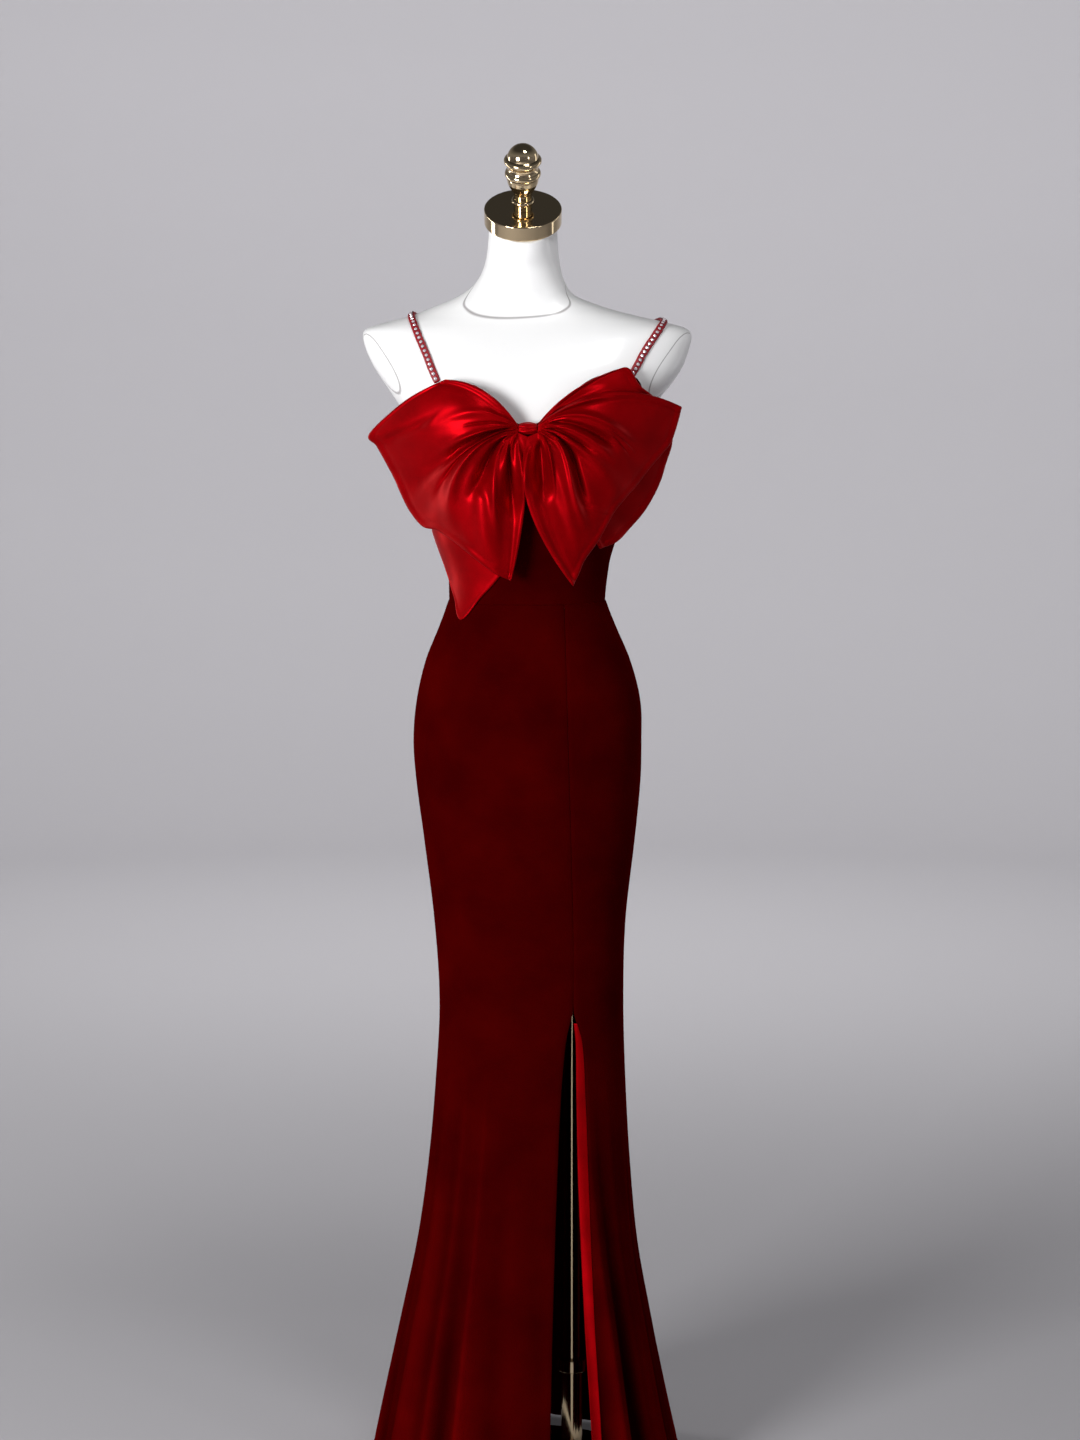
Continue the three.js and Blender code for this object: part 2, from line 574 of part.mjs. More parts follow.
// The zip's slider and its hanging pull at the centre back
function addZip() {
  const ends = [-0.5, 0, 0.5].map((end) => reach(Math.PI, SLIDER.z + end * SLIDER.height));
  const back = Math.max(...ends) + EASE + VELVET + SEAM;

  // The bridge from the side: a half circle on two straight legs, which stand on the slider's body
  const arch = (radius, foot) => {
    const round = Array.from({ length: 9 }, (_, i) => {
      const angle = degrees(i * 22.5 - 90);
      return [BRIDGE.out + radius * Math.cos(angle), radius * Math.sin(angle)];
    });
    return new CrossSection([[foot, -radius], ...round, [foot, radius]]);
  };
  const side = arch(BRIDGE.outer, -SLIDER.thickness / 2).subtract(arch(BRIDGE.inner, 0));
  const bridge = side.extrude(BRIDGE.width, 0, 0, [1, 1], true).rotate([90, 0, 90]);
  const body = Manifold.cube([SLIDER.width, SLIDER.thickness, SLIDER.height], true);
  const slider = bridge.add(body.translate([0, -SLIDER.thickness / 2, -BRIDGE.up]));
  const pivot = new THREE.Vector3(0, back + SLIDER.thickness + BRIDGE.out, SLIDER.z + BRIDGE.up);
  add('zip_slider', geometryOf(slider), FINISH.zip).position.set(0, back + SLIDER.thickness, pivot.z);

  // The pull seen from behind, with the hole that the bridge goes through
  const { topHalf, endRadius, thickness, length, holeHalf, holeEnd } = PULL;
  const bar = thickness / 2;
  const outline = new THREE.Shape();
  outline.moveTo(topHalf, bar);
  outline.lineTo(-topHalf, bar);
  outline.lineTo(-topHalf, -holeEnd - thickness);
  outline.absarc(0, endRadius - length, endRadius, Math.PI, 2 * Math.PI);
  outline.lineTo(topHalf, -holeEnd - thickness);
  const hole = [[-holeHalf, -bar], [holeHalf, -bar], [holeHalf, -holeEnd], [-holeHalf, -holeEnd]];
  outline.holes.push(new THREE.Path(hole.map(([x, y]) => new THREE.Vector2(x, y))));
  const tab = new THREE.ExtrudeGeometry(outline, { depth: thickness, bevelEnabled: false, curveSegments: 6 });
  tab.translate(0, 0, -thickness / 2);
  const pull = add('zip_pull', tab, FINISH.zip);
  pull.rotation.x = Math.PI / 2;
  pull.position.copy(pivot);
}

// The stand: a mounting ring under the form, a pole that slides in a tube, its clamp and the round base.
function addStand() {
  add('base', turned(discProfile(BASE), 44), FINISH.gold);

  const tubeOutline = new THREE.Shape().absarc(0, 0, TUBE.radius, 0, 2 * Math.PI);
  const corner = TUBE.flats / Math.cos(Math.PI / TUBE.sides);
  const bore = Array.from({ length: TUBE.sides }, (_, i) => {
    const angle = ((i + 0.5) / TUBE.sides) * 2 * Math.PI;
    return new THREE.Vector2(corner * Math.cos(angle), corner * Math.sin(angle));
  });
  tubeOutline.holes.push(new THREE.Path(bore));
  const tubeLength = TUBE.top - TUBE.bottom;
  const tubeSettings = { depth: tubeLength, bevelEnabled: false, curveSegments: 8 };
  const tube = new THREE.ExtrudeGeometry(tubeOutline, tubeSettings);
  add('lower_tube', tube, FINISH.gold).position.set(POLE.x, 0, TUBE.bottom);

  const ringProfile = (inner, outer, height) => [
    [inner, 0], [outer, 0], [outer, height], [inner, height], [inner, 0],
  ];
  const collarInner = TUBE.radius + SEAM;
  const collarShape = turned(ringProfile(collarInner, COLLAR.radius, COLLAR.height), 24);
  const collar = add('clamp_collar', collarShape, FINISH.gold);
  collar.position.set(POLE.x, 0, TUBE.top - COLLAR.height);

  const { radius: thread, length, knobRadius, knobLength } = SCREW;
  const screw = add('clamp_screw', turned([
    [0, 0], [thread, 0], [thread, length], [knobRadius - 1, length], [knobRadius, length + 1],
    [knobRadius, length + knobLength - 1], [knobRadius - 1, length + knobLength], [0, length + knobLength],
  ], 16), FINISH.gold);
  screw.rotation.x = -Math.PI / 2;
  screw.position.set(POLE.x, COLLAR.radius + SEAM, TUBE.top - COLLAR.height / 2);

  const ringBottom = FORM_BOTTOM - SEAM - RING.thickness;
  const poleLength = FORM_BOTTOM - SEAM - POLE.bottom;
  const pole = turned([[0, 0], [POLE.radius, 0], [POLE.radius, poleLength], [0, poleLength]], 24);
  add('upper_pole', pole, FINISH.gold).position.set(POLE.x, 0, POLE.bottom);
  const mount = turned(ringProfile(POLE.radius + SEAM, RING.radius, RING.thickness), 32);
  add('mounting_ring', mount, FINISH.gold).position.set(POLE.x, 0, ringBottom);
}

addForm();
addCap();
addSkirt();
addBodice();
addBow();
addStrap('strap_left', STRAP_LEFT);
addStrap('strap_right', STRAP_RIGHT);
addZip();
addStand();

export default model;
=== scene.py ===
# %% [markdown]
# # A velvet mermaid dress with a satin bow, on a dress form
#
# The dress hangs on a limbless form with a round stand. This lesson builds the finish of every piece:
# the pile of the velvet, the gathered satin of the bow, the stones of the straps, the lacquer of the
# form and the polished metal. The frame gives the pieces that carry load, and each cloth piece here
# takes the place of its plain solid.

# %% Load the frame
import math

import bmesh
import bpy
import numpy as np
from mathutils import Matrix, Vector


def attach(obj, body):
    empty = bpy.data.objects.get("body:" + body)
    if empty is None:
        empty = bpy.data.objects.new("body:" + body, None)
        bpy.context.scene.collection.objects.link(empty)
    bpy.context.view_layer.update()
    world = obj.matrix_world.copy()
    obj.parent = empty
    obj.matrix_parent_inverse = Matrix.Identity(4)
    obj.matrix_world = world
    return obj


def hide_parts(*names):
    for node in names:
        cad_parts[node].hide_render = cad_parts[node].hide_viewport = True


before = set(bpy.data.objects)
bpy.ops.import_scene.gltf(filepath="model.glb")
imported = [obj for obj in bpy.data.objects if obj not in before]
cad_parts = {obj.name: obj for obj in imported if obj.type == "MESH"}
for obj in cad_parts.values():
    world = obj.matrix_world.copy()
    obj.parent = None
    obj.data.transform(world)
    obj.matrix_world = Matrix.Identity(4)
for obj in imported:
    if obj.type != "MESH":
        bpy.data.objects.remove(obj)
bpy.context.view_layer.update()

# %% [markdown]
# ## Units, tables and smooth curves
#
# A dressmaker's sizes are in millimetres, and Blender's are in metres, so one factor turns one into the
# other at the very end. A shape that changes along the body could be traced point by point. A short
# table of sections is easier to read, and a smooth curve through its rows gives every height between.

# %% Tables
MM = 0.001


def table(columns, *rows):
    """Rows with named columns, kept as one array for each column."""
    names = columns.split()
    return {name: np.array([row[i] for row in rows], float) for i, name in enumerate(names)}


def along(rows, key, at, column):
    """A smooth curve through one column of a table, read at heights or angles."""
    x, y = rows[key], rows[column]
    last = len(x) - 1
    at = np.asarray(at, float)
    i = np.clip(np.searchsorted(x, at, side="right") - 1, 0, last - 1)
    low, high = np.maximum(np.arange(last + 1) - 1, 0), np.minimum(np.arange(last + 1) + 1, last)
    slope = (y[high] - y[low]) / (x[high] - x[low])
    span = x[i + 1] - x[i]
    t = np.clip((at - x[i]) / span, 0, 1)
    start, end = (t**3 - 2 * t**2 + t) * span, (t**3 - t**2) * span
    return y[i] + (y[i + 1] - y[i]) * (3 * t**2 - 2 * t**3) + start * slope[i] + end * slope[i + 1]


def row_at(rows, fraction, column):
    """A column of a table at a fraction of the table's length."""
    count = len(rows[column])
    return along({**rows, "index": np.arange(count)}, "index", np.asarray(fraction) * (count - 1), column)


def smoothstep(value, low, high):
    t = np.clip((value - low) / (high - low), 0, 1)
    return t * t * (3 - 2 * t)


def bell(offset, width):
    return np.exp(-((offset / width) ** 2))


# %% [markdown]
# ## The body shape
#
# The form is a lofted fibreglass shell, and the dress follows it. Both need the same shape, so it is
# worked out once: how far the body reaches from the Z axis in each direction, at each height. A section
# is a slightly squared ellipse with its own reach to the left, right, front and back. The flare of the
# skirt adds soft lengthwise folds that grow towards the hem.

# %% Sections of the body
HEM = 12.0
WAIST = 1154.0
FLARE_TOP = 560.0
NECK_TOP = 1633.0

BODY = table("height left right front back square",
    [HEM, 199.5, 196.5, 173, 213, 2],
    [94, 183.8, 179.5, 159, 197, 2],
    [202, 162.1, 159.2, 140, 171, 2],
    [310, 140.6, 140.4, 119, 143, 2],
    [418, 125.7, 130.8, 101, 119, 2.05],
    [525, 116.1, 125.3, 89, 101, 2.1],
    [631, 110.5, 122.3, 84, 95, 2.2],
    [737, 116.6, 124.6, 87, 99, 2.2],
    [842, 129.2, 136, 92, 107, 2.2],
    [920, 139.2, 143.4, 94, 115, 2.2],
    [973, 142.8, 144.5, 94, 117, 2.2],
    [1024, 138.7, 143.1, 92, 113, 2.2],
    [1076, 126.9, 130, 87, 102, 2.2],
    [1120, 109.3, 111.3, 81, 89, 2.2],
    [WAIST, 97.6, 98.6, 77, 81, 2.2],
    [1169, 97, 98.9, 78, 80.3, 2.2],
    [1187, 98, 101, 81, 81, 2.2],
    [1208, 102.5, 104.5, 86, 83, 2.2],
    [1249, 116, 117, 98, 88, 2.2],
    [1300, 129, 130, 106, 93, 2.2],
    [1345, 135.5, 136, 109, 96, 2.25],
    [1375, 141, 142, 107, 97, 2.3],
    [1404, 163, 164, 103, 97.5, 2.5],
    [1427, 178, 182, 98, 98, 2.6],
    [1450, 193, 197.5, 89, 97, 2.6],
    [1473, 204, 206, 76, 92, 2.6],
    [1490, 208, 209.5, 65, 84, 2.6],
    [1500, 203, 203, 58, 76, 2.5],
    [1508, 178, 176, 52.5, 68, 2.4],
    [1516, 148, 140, 48, 62, 2.3],
    [1526, 121, 102, 44, 57, 2.15],
    [1541, 86, 63, 41.5, 52, 2.05],
    [1556, 66, 50, 43, 49, 2],
    [1579, 53, 42.5, 46, 45, 2],
    [1606, 48.5, 39.5, 52, 38, 2],
    [NECK_TOP, 48, 39, 57, 31, 2])

FOLDS = table("angle width rise",
    [-104, 9, 9], [-80, 8, -5], [-66, 7, 5], [-53, 6, 9], [-41, 6, -9], [-28, 6, 9],
    [34, 6, -9], [45, 6, 8], [57, 6, -9], [69, 7, 6], [84, 8, -5], [105, 8, 9],
    [121, 8, -9], [138, 9, 11], [158, 9, -10], [180, 9, 11],
    [-158, 9, -10], [-138, 9, 11], [-121, 8, -9])

SMALL_FOLDS = table("angle width rise",
    [-70, 3, -4], [-62, 3, 3], [-52.5, 3.4, -9], [-47, 2.2, 5], [-39, 4, 3], [-31.5, 2, 6],
    [-26, 4, -4], [-18, 5, -2], [-8, 5, 1.5], [6, 5, -1.5], [34.5, 3, -5], [44.5, 2.4, 4],
    [53, 3, -6], [61, 2.6, 4], [78, 3, -4], [92, 3, 4], [113, 3, 4], [128, 3, -4],
    [149, 3, 4], [170, 3, -4], [-168, 3, 4], [-149, 3, -4], [-128, 3, 4], [-112, 3, -4])

CUP = {"angle": 38, "width": 20, "height": 1335, "tall": 50, "rise": 11}


def turn(start, end):
    """The shorter way around between two angles in degrees."""
    return (end - start + 540) % 360 - 180


def fold_lift(around, height):
    """How far the skirt's folds rise or sink at a direction in degrees and a height."""
    flare = np.clip((FLARE_TOP - height) / (FLARE_TOP - HEM), 0, 1)
    wide, small = (sum(rise * bell(turn(at, around), width)
                       for at, width, rise in zip(rows["angle"], rows["width"], rows["rise"]))
                   for rows in (FOLDS, SMALL_FOLDS))
    return flare**1.5 * wide + flare**1.05 * small


def reach(angle, height):
    """How far the body reaches from the Z axis: direction in radians from the front, and height."""
    angle, height = np.broadcast_arrays(np.asarray(angle, float), np.asarray(height, float))
    sine, cosine = np.sin(angle), np.cos(angle)
    left, right, front, back, square = (along(BODY, "height", height, key)
                                        for key in ("left", "right", "front", "back", "square"))
    side, onward = np.where(sine > 0, right, left), np.where(cosine > 0, front, back)
    plain = ((np.abs(sine) / side) ** square + (np.abs(cosine) / onward) ** square) ** (-1 / square)
    around = np.degrees(angle)
    cup = CUP["rise"] * bell(np.abs(turn(0, around)) - CUP["angle"], CUP["width"])
    return plain + cup * bell(height - CUP["height"], CUP["tall"]) + fold_lift(around, height)


def on_body(angle, height, out):
    """Points of the body, moved out by some millimetres."""
    angle, height, out = np.broadcast_arrays(angle, height, out)
    radius = reach(angle, height) + out
    return np.stack([radius * np.sin(angle), -radius * np.cos(angle), height], axis=-1)


def angle_at(x, height):
    """The direction in which the front of a section reaches a given X."""
    low, high = (np.full(np.shape(height), math.radians(limit)) for limit in (-88, 88))
    for _ in range(40):
        middle = (low + high) / 2
        short = on_body(middle, height, 0.0)[..., 0] < x
        low, high = np.where(short, middle, low), np.where(short, high, middle)
    return (low + high) / 2


def off_body(points):
    """How far points lie outside the body, and the direction away from it."""
    def gap(p):
        return np.hypot(p[..., 0], p[..., 1]) - reach(np.arctan2(p[..., 0], -p[..., 1]), p[..., 2])

    step = 0.5
    slopes = [(gap(points + step * axis) - gap(points - step * axis)) / (2 * step) for axis in np.eye(3)]
    out = np.stack(slopes, axis=-1)
    steep = np.linalg.norm(out, axis=-1)
    return gap(points) / steep, out / steep[..., None]


def seated(points, distance):
    """Points moved until they lie a given distance outside the body."""
    for _ in range(6):
        now, out = off_body(points)
        points = points + out * (distance - now)[..., None]
    return points


def kept_off(points, least):
    """Points nearer than the least distance are moved out softly, and the rest stay."""
    softness = 2.5
    distance, out = off_body(points)
    moved = least + softness * np.log1p(np.exp(np.clip((distance - least) / softness, -30, 30)))
    push = np.where(distance > least + 30, 0, moved - distance)
    return points + out * push[..., None]


print("waist reaches", np.round(reach(np.radians([0, 90, 180, -90]), WAIST), 1))

# %% [markdown]
# ## Camera, floor and light
#
# The picture was taken from a little above the waist, about four metres away, tilted down. The floor is
# plain and pale and rises in a soft curve all around, as the painted cove of a studio does. A wide
# soft light from the front left is the main one: velvet shows its pile in a light from the side, and
# satin needs a large bright shape to mirror.

# %% Camera
TILT_DOWN = 6.807    # degrees
scene = bpy.context.scene


def link(name, data, finish=None):
    """A new object in the scene, with a finish where it has one."""
    made = bpy.data.objects.new(name, data)
    scene.collection.objects.link(made)
    if finish:
        data.materials.append(finish)
    return made


camera = link("camera", bpy.data.cameras.new("camera"))
camera.data.lens = 82
camera.data.sensor_width = 36
camera.location = (0.017, -4.2, 1.5)
camera.rotation_euler = (math.radians(90 - TILT_DOWN), 0, 0)
scene.camera = camera
scene.view_settings.view_transform = "Standard"    # keeps a bright red saturated
print("camera at", camera.location[:])


# %% Colour and node helpers
def colour(code):
    """An sRGB hex colour as linear values."""
    parts = [int(code[i:i + 2], 16) / 255 for i in (1, 3, 5)]
    return (*(p / 12.92 if p <= 0.04045 else ((p + 0.055) / 1.055) ** 2.4 for p in parts), 1.0)


def fill(node, values=(), links=()):
    """Sets a node's inputs: numbers, hex colours, and links from outputs or from nodes' first outputs."""
    for key, value in dict(values).items():
        node.inputs[key].default_value = colour(value) if isinstance(value, str) else value
    for key, source in dict(links).items():
        node.id_data.links.new(getattr(source, "outputs", (source,))[0], node.inputs[key])


def put(tree, kind, values=(), links=(), **settings):
    """Adds one node to a tree with its settings, its plain inputs and its links from other nodes."""
    made = tree.nodes.new(kind)
    for key, value in settings.items():
        setattr(made, key, value)
    fill(made, values, links)
    return made


def material(name, values):
    """A material with values on its shader, and its node tree, its shader and the places on its piece."""
    made = bpy.data.materials.new(name)
    made.use_nodes = True
    tree = made.node_tree
    shader = tree.nodes["Principled BSDF"]
    fill(shader, values)
    return made, tree, shader, put(tree, "ShaderNodeTexCoord").outputs["Object"]


# %% Floor and backdrop
def circle(count):
    return np.linspace(0, 2 * math.pi, count, endpoint=False)


def ring_faces(rings, count, first=0, start=True, end=True):
    """Quads between rings of points that close on themselves, with a flat face at the start and the end."""
    faces = []
    for low in range(first, first + (rings - 1) * count, count):
        faces += [(low + s, low + (s + 1) % count, low + count + (s + 1) % count, low + count + s)
                  for s in range(count)]
    if start:
        faces.append(tuple(range(first + count - 1, first - 1, -1)))
    if end:
        faces.append(tuple(range(first + (rings - 1) * count, first + rings * count)))
    return faces


paper, tree, shader, place = material("studio paper, matt", {"Roughness": 0.9, "Emission Strength": 0.06})
grain = put(tree, "ShaderNodeTexNoise", {"Scale": 3, "Detail": 3}, {"Vector": place.node})    # over its box
tone = put(tree, "ShaderNodeMixRGB", {"Color1": "#b9b7bb", "Color2": "#c1bfc3"}, {"Fac": grain})
fill(shader, {}, {"Base Color": tone, "Emission Color": tone})

FLAT, BEND, TOP = 5200, 1900, 3200    # the cove's flat floor, the radius of its bend and its height
bend = [(FLAT + BEND * math.sin(a), BEND * (1 - math.cos(a))) for a in np.radians(np.linspace(0, 90, 24))]
floor_line = [(1, 0), (1500, 0), *bend, (FLAT + BEND, TOP)]
sweep = circle(160)
corners = [(r * math.sin(a) * MM, r * math.cos(a) * MM, z * MM) for r, z in floor_line for a in sweep]
floor_mesh = bpy.data.meshes.new("floor")
floor_mesh.from_pydata(corners, [], ring_faces(len(floor_line), len(sweep), end=False))
floor_mesh.shade_smooth()
floor = link("floor", floor_mesh, paper)
print("floor points", len(corners))


# %% Lights
LIGHTS = (    # name, place, target, width and height, watts
    ("main", (-2.1, -2.9, 1.5), (0, 0, 1.15), (1.2, 1.2), 120),
    ("fill", (2.4, -2.6, 2.0), (0, 0, 1.3), (0.35, 0.8), 7),
    ("top", (0.5, -1.3, 3.3), (0, 0, 1.4), (0.5, 0.5), 14),
    ("left_edge", (-2.5, 1.1, 1.1), (0, 0, 0.8), (0.4, 2.0), 20),
    ("right_edge", (2.4, 0.9, 1.6), (0, 0, 1.1), (0.5, 2.2), 5),
    ("backdrop", (0, 2.6, 3.4), (0, 7.0, 1.0), (4.5, 1.0), 150))
for name, place, target, size, watts in LIGHTS:
    data = bpy.data.lights.new(name, "AREA")
    data.shape = "RECTANGLE"
    data.size, data.size_y = size
    data.energy = watts
    light = link(name, data)
    light.location = place
    light.rotation_euler = (Vector(target) - Vector(place)).to_track_quat("-Z", "Y").to_euler()
print("soft lights", len(LIGHTS))

scene.world = bpy.data.worlds.new("studio")
scene.world.use_nodes = True
tree = scene.world.node_tree
sky = put(tree, "ShaderNodeTexCoord")
upward = put(tree, "ShaderNodeSeparateXYZ", {}, {"Vector": sky})
ramp = put(tree, "ShaderNodeMapRange", {"From Min": 0.35, "From Max": 0.75, "To Min": 0.24, "To Max": 0.05},
           {"Value": upward.outputs["Z"]})
fill(tree.nodes["Background"], {"Color": "#f1f1f5"}, {"Strength": ramp})

# %% [markdown]
# ## Velvet
#
# The skirt and the bodice are a short cut pile on a stretch backing. The pile swallows light that meets
# it straight on and throws it back at a grazing angle, so velvet is nearly black where it faces you and
# lighter along its edges. Microfibre sheen over a rough, dark red base gives that. The pile also
# lies a little differently from place to place, so a slow noise shifts the red. Low in the skirt every
# point also carries how high its fold lies, and the red gets painted shade in the valleys and painted
# light on the ridges.

# %% Velvet material
PILE_PATCH = 90.0    # mm, areas where the pile leans one way
PILE_GRAIN = 1.2     # mm, real pile is 0.3 mm thick and is drawn coarser so that it shows


def velvet_material(name, folded):
    made, tree, shader, place = material(name, {
        "Roughness": 0.95, "Specular IOR Level": 0.0, "Sheen Weight": 0.13, "Sheen Roughness": 0.35,
        "Sheen Tint": "#c00002"})
    patches = put(tree, "ShaderNodeTexNoise",
                  {"Scale": 1 / (PILE_PATCH * MM), "Detail": 3, "Roughness": 0.55}, {"Vector": place})
    fibres = put(tree, "ShaderNodeTexNoise", {"Scale": 1 / (PILE_GRAIN * MM), "Detail": 2}, {"Vector": place})
    lean = put(tree, "ShaderNodeMapRange", {"From Min": 0.3, "From Max": 0.7}, {"Value": patches})
    red = put(tree, "ShaderNodeMixRGB", {"Color1": "#330001", "Color2": "#420101"}, {"Fac": lean})
    # Painted shade and light: the fold height darkens the red in the valleys and lightens it on the ridges.
    if folded:
        fold = put(tree, "ShaderNodeAttribute", attribute_name="fold")
        depth = put(tree, "ShaderNodeMapRange", {"To Min": 0.15, "To Max": 1.85},
                    {"Value": fold.outputs["Fac"]})
        red = put(tree, "ShaderNodeVectorMath", {}, {0: red, "Scale": depth}, operation="SCALE")
    relief = put(tree, "ShaderNodeBump", {"Strength": 0.25, "Distance": 0.0004}, {"Height": fibres})
    fill(shader, {}, {"Base Color": red, "Normal": relief})
    return made


velvet = velvet_material("silk velvet, cut pile", False)
skirt_velvet_fold_shaded = velvet_material("silk velvet, cut pile, folded", True)
print(velvet.name, "and", skirt_velvet_fold_shaded.name)

# %% [markdown]
# ## Satin
#
# The bow is heavy duchess satin: long floats of bright filament over a dense weave. Its mirror is red,
# because the light bounces between the coloured filaments, so the shader is partly metallic. A very fine
# grain stands for the floats, and slow ripples for the unevenness of cloth that is folded by hand.

# %% Satin material
FLOAT_WIDTH = 0.9    # mm, real floats are 0.1 mm wide and are drawn coarser so that they show
RIPPLE = 30.0        # mm

satin, tree, shader, place = material("duchess satin, bright red", {
    "Metallic": 0.55, "Roughness": 0.41, "Specular IOR Level": 0.14, "Specular Tint": "#e87080"})
floats = put(tree, "ShaderNodeTexNoise", {"Scale": 1 / (FLOAT_WIDTH * MM), "Detail": 1}, {"Vector": place})
slow = put(tree, "ShaderNodeTexNoise", {"Scale": 1 / (RIPPLE * MM), "Detail": 2}, {"Vector": place})
red = put(tree, "ShaderNodeMixRGB", {"Color1": "#7c0004", "Color2": "#ac0008"}, {"Fac": slow})
fine = put(tree, "ShaderNodeBump", {"Strength": 0.12, "Distance": 0.0002}, {"Height": floats})
relief = put(tree, "ShaderNodeBump", {"Strength": 0.35, "Distance": 0.0012},
             {"Height": slow, "Normal": fine})
fill(shader, {}, {"Base Color": red, "Normal": relief})
print(satin.name)

# %% [markdown]
# ## Lacquered form, gold plating, strap band and stones
#
# The form is fibreglass under glossy white lacquer: an even white with a clear coat. Its neck and arms
# are closed by separate plates, and their thin joints show as grey lines where a plane cuts the shell.
# The cap, finial and pole are steel with pale gold plating, polished to a mirror. The strap is a narrow
# red band with one row of foil-backed glass stones in silver cups, so the stones mirror the light.

# %% Lacquer
CLOUD, PEEL = 111.11, 3.8462                      # mm, slow tone and fine relief of sprayed lacquer
NECK_JOINT = (-0.02, -0.72, 0.694), 1.0860        # normal and distance of the joint's plane, in metres
ARM_JOINTS = (0.8291, 0.4803, -0.2862), -0.2490   # the same for both arms, on mirrored places


def joint_line(tree, place, normal, distance):
    """Where the shell meets a flat joint: 1 on the line and 0 beside it."""
    from_origin = put(tree, "ShaderNodeVectorMath", {1: normal}, {0: place}, operation="DOT_PRODUCT")
    off = put(tree, "ShaderNodeMath", {1: distance}, {0: from_origin.outputs["Value"]}, operation="SUBTRACT")
    away = put(tree, "ShaderNodeMath", {}, {0: off}, operation="ABSOLUTE")
    return put(tree, "ShaderNodeMapRange", {"From Min": 0.0001, "From Max": 0.0006, "To Min": 1, "To Max": 0},
               {"Value": away})


lacquer, tree, shader, place = material("white lacquer on fibreglass", {
    "Roughness": 0.38, "Coat Weight": 0.3, "Coat Roughness": 0.12})
cloud = put(tree, "ShaderNodeTexNoise", {"Scale": 1 / (CLOUD * MM), "Detail": 2}, {"Vector": place})
white = put(tree, "ShaderNodeMixRGB", {"Color1": "#f4f4f4", "Color2": "#fafafa"}, {"Fac": cloud})
peel = put(tree, "ShaderNodeTexNoise", {"Scale": 1 / (PEEL * MM), "Detail": 1}, {"Vector": place})
relief = put(tree, "ShaderNodeBump", {"Strength": 0.03, "Distance": 0.0005}, {"Height": peel})
mirrored = put(tree, "ShaderNodeVectorMath", {}, {0: place}, operation="ABSOLUTE")
neck, arms = joint_line(tree, place, *NECK_JOINT), joint_line(tree, mirrored, *ARM_JOINTS)
joints = put(tree, "ShaderNodeMath", {}, {0: neck, 1: arms}, operation="MAXIMUM")
shown = put(tree, "ShaderNodeMixRGB", {"Color2": "#a9a5a6"}, {"Fac": joints, "Color1": white})
fill(shader, {}, {"Base Color": shown, "Normal": relief})


# %% Metals, band, stones and enamel
def grained(name, grain, detail, values, colours=None, roughness=None, relief=None):
    """A material whose grain, with its size in mm, shifts its colour, its roughness or its relief."""
    made, tree, shader, place = material(name, values)
    noise = put(tree, "ShaderNodeTexNoise", {"Scale": 1 / (grain * MM), "Detail": detail}, {"Vector": place})
    if colours:
        mixed = dict(zip(("Color1", "Color2"), colours))
        fill(shader, {}, {"Base Color": put(tree, "ShaderNodeMixRGB", mixed, {"Fac": noise})})
    if roughness:
        limits = dict(zip(("To Min", "To Max"), roughness))
        fill(shader, {}, {"Roughness": put(tree, "ShaderNodeMapRange", limits, {"Value": noise})})
    if relief:
        bump = dict(zip(("Strength", "Distance"), relief))
        fill(shader, {}, {"Normal": put(tree, "ShaderNodeBump", bump, {"Height": noise})})
    return made


gold = grained("pale gold plating on steel", 16.667, 4, {"Base Color": "#dcc6a0", "Metallic": 1.0},
               roughness=(0.05, 0.14))
silver = grained("silver-plated brass cup", 2.5, 2, {"Base Color": "#6b5c60", "Metallic": 1.0},
                 roughness=(0.15, 0.3))
band = grained("red woven band", 1.1111, 1, {"Roughness": 0.5}, ("#7c0010", "#a8041c"), relief=(0.4, 0.0003))
stone = grained("foil-backed glass stone", 1.4286, 0, {
    "Metallic": 0.35, "Roughness": 0.08, "Coat Weight": 1.0, "Coat Roughness": 0.02}, ("#f2ecf0", "#d8c3cb"))
enamel = grained("dark red enamel on zinc", 2, 2, {"Roughness": 0.3, "Metallic": 0.4},
                 ("#5a060b", "#6e0a10"))
print(len(bpy.data.materials), "materials")

# %% [markdown]
# ## How cloth pieces are meshed
#
# A thin wall could come from one surface and a Solidify modifier. Here the two faces are worked out
# apart, because the inner face has to keep clear of what the cloth lies on. The edges get one rounded
# row, as a turned and stitched edge has, so that they catch a fine line of light.


# %% Mesh builders
def mesh_of(name, points, faces, smooth=True):
    mesh = bpy.data.meshes.new(name)
    mesh.from_pydata(np.round(points * MM, 7).tolist(), [], faces)
    mesh.validate()
    if smooth:
        mesh.shade_smooth()
    return mesh


def grid_faces(rows, columns, first=0, flip=False):
    """Quads of a grid of points that starts at an index."""
    r, c = np.meshgrid(np.arange(rows - 1), np.arange(columns - 1), indexing="ij")
    a = (first + r * columns + c).ravel()
    quads = np.stack([a, a + 1, a + columns + 1, a + columns], axis=1)
    return (quads[:, ::-1] if flip else quads).tolist()


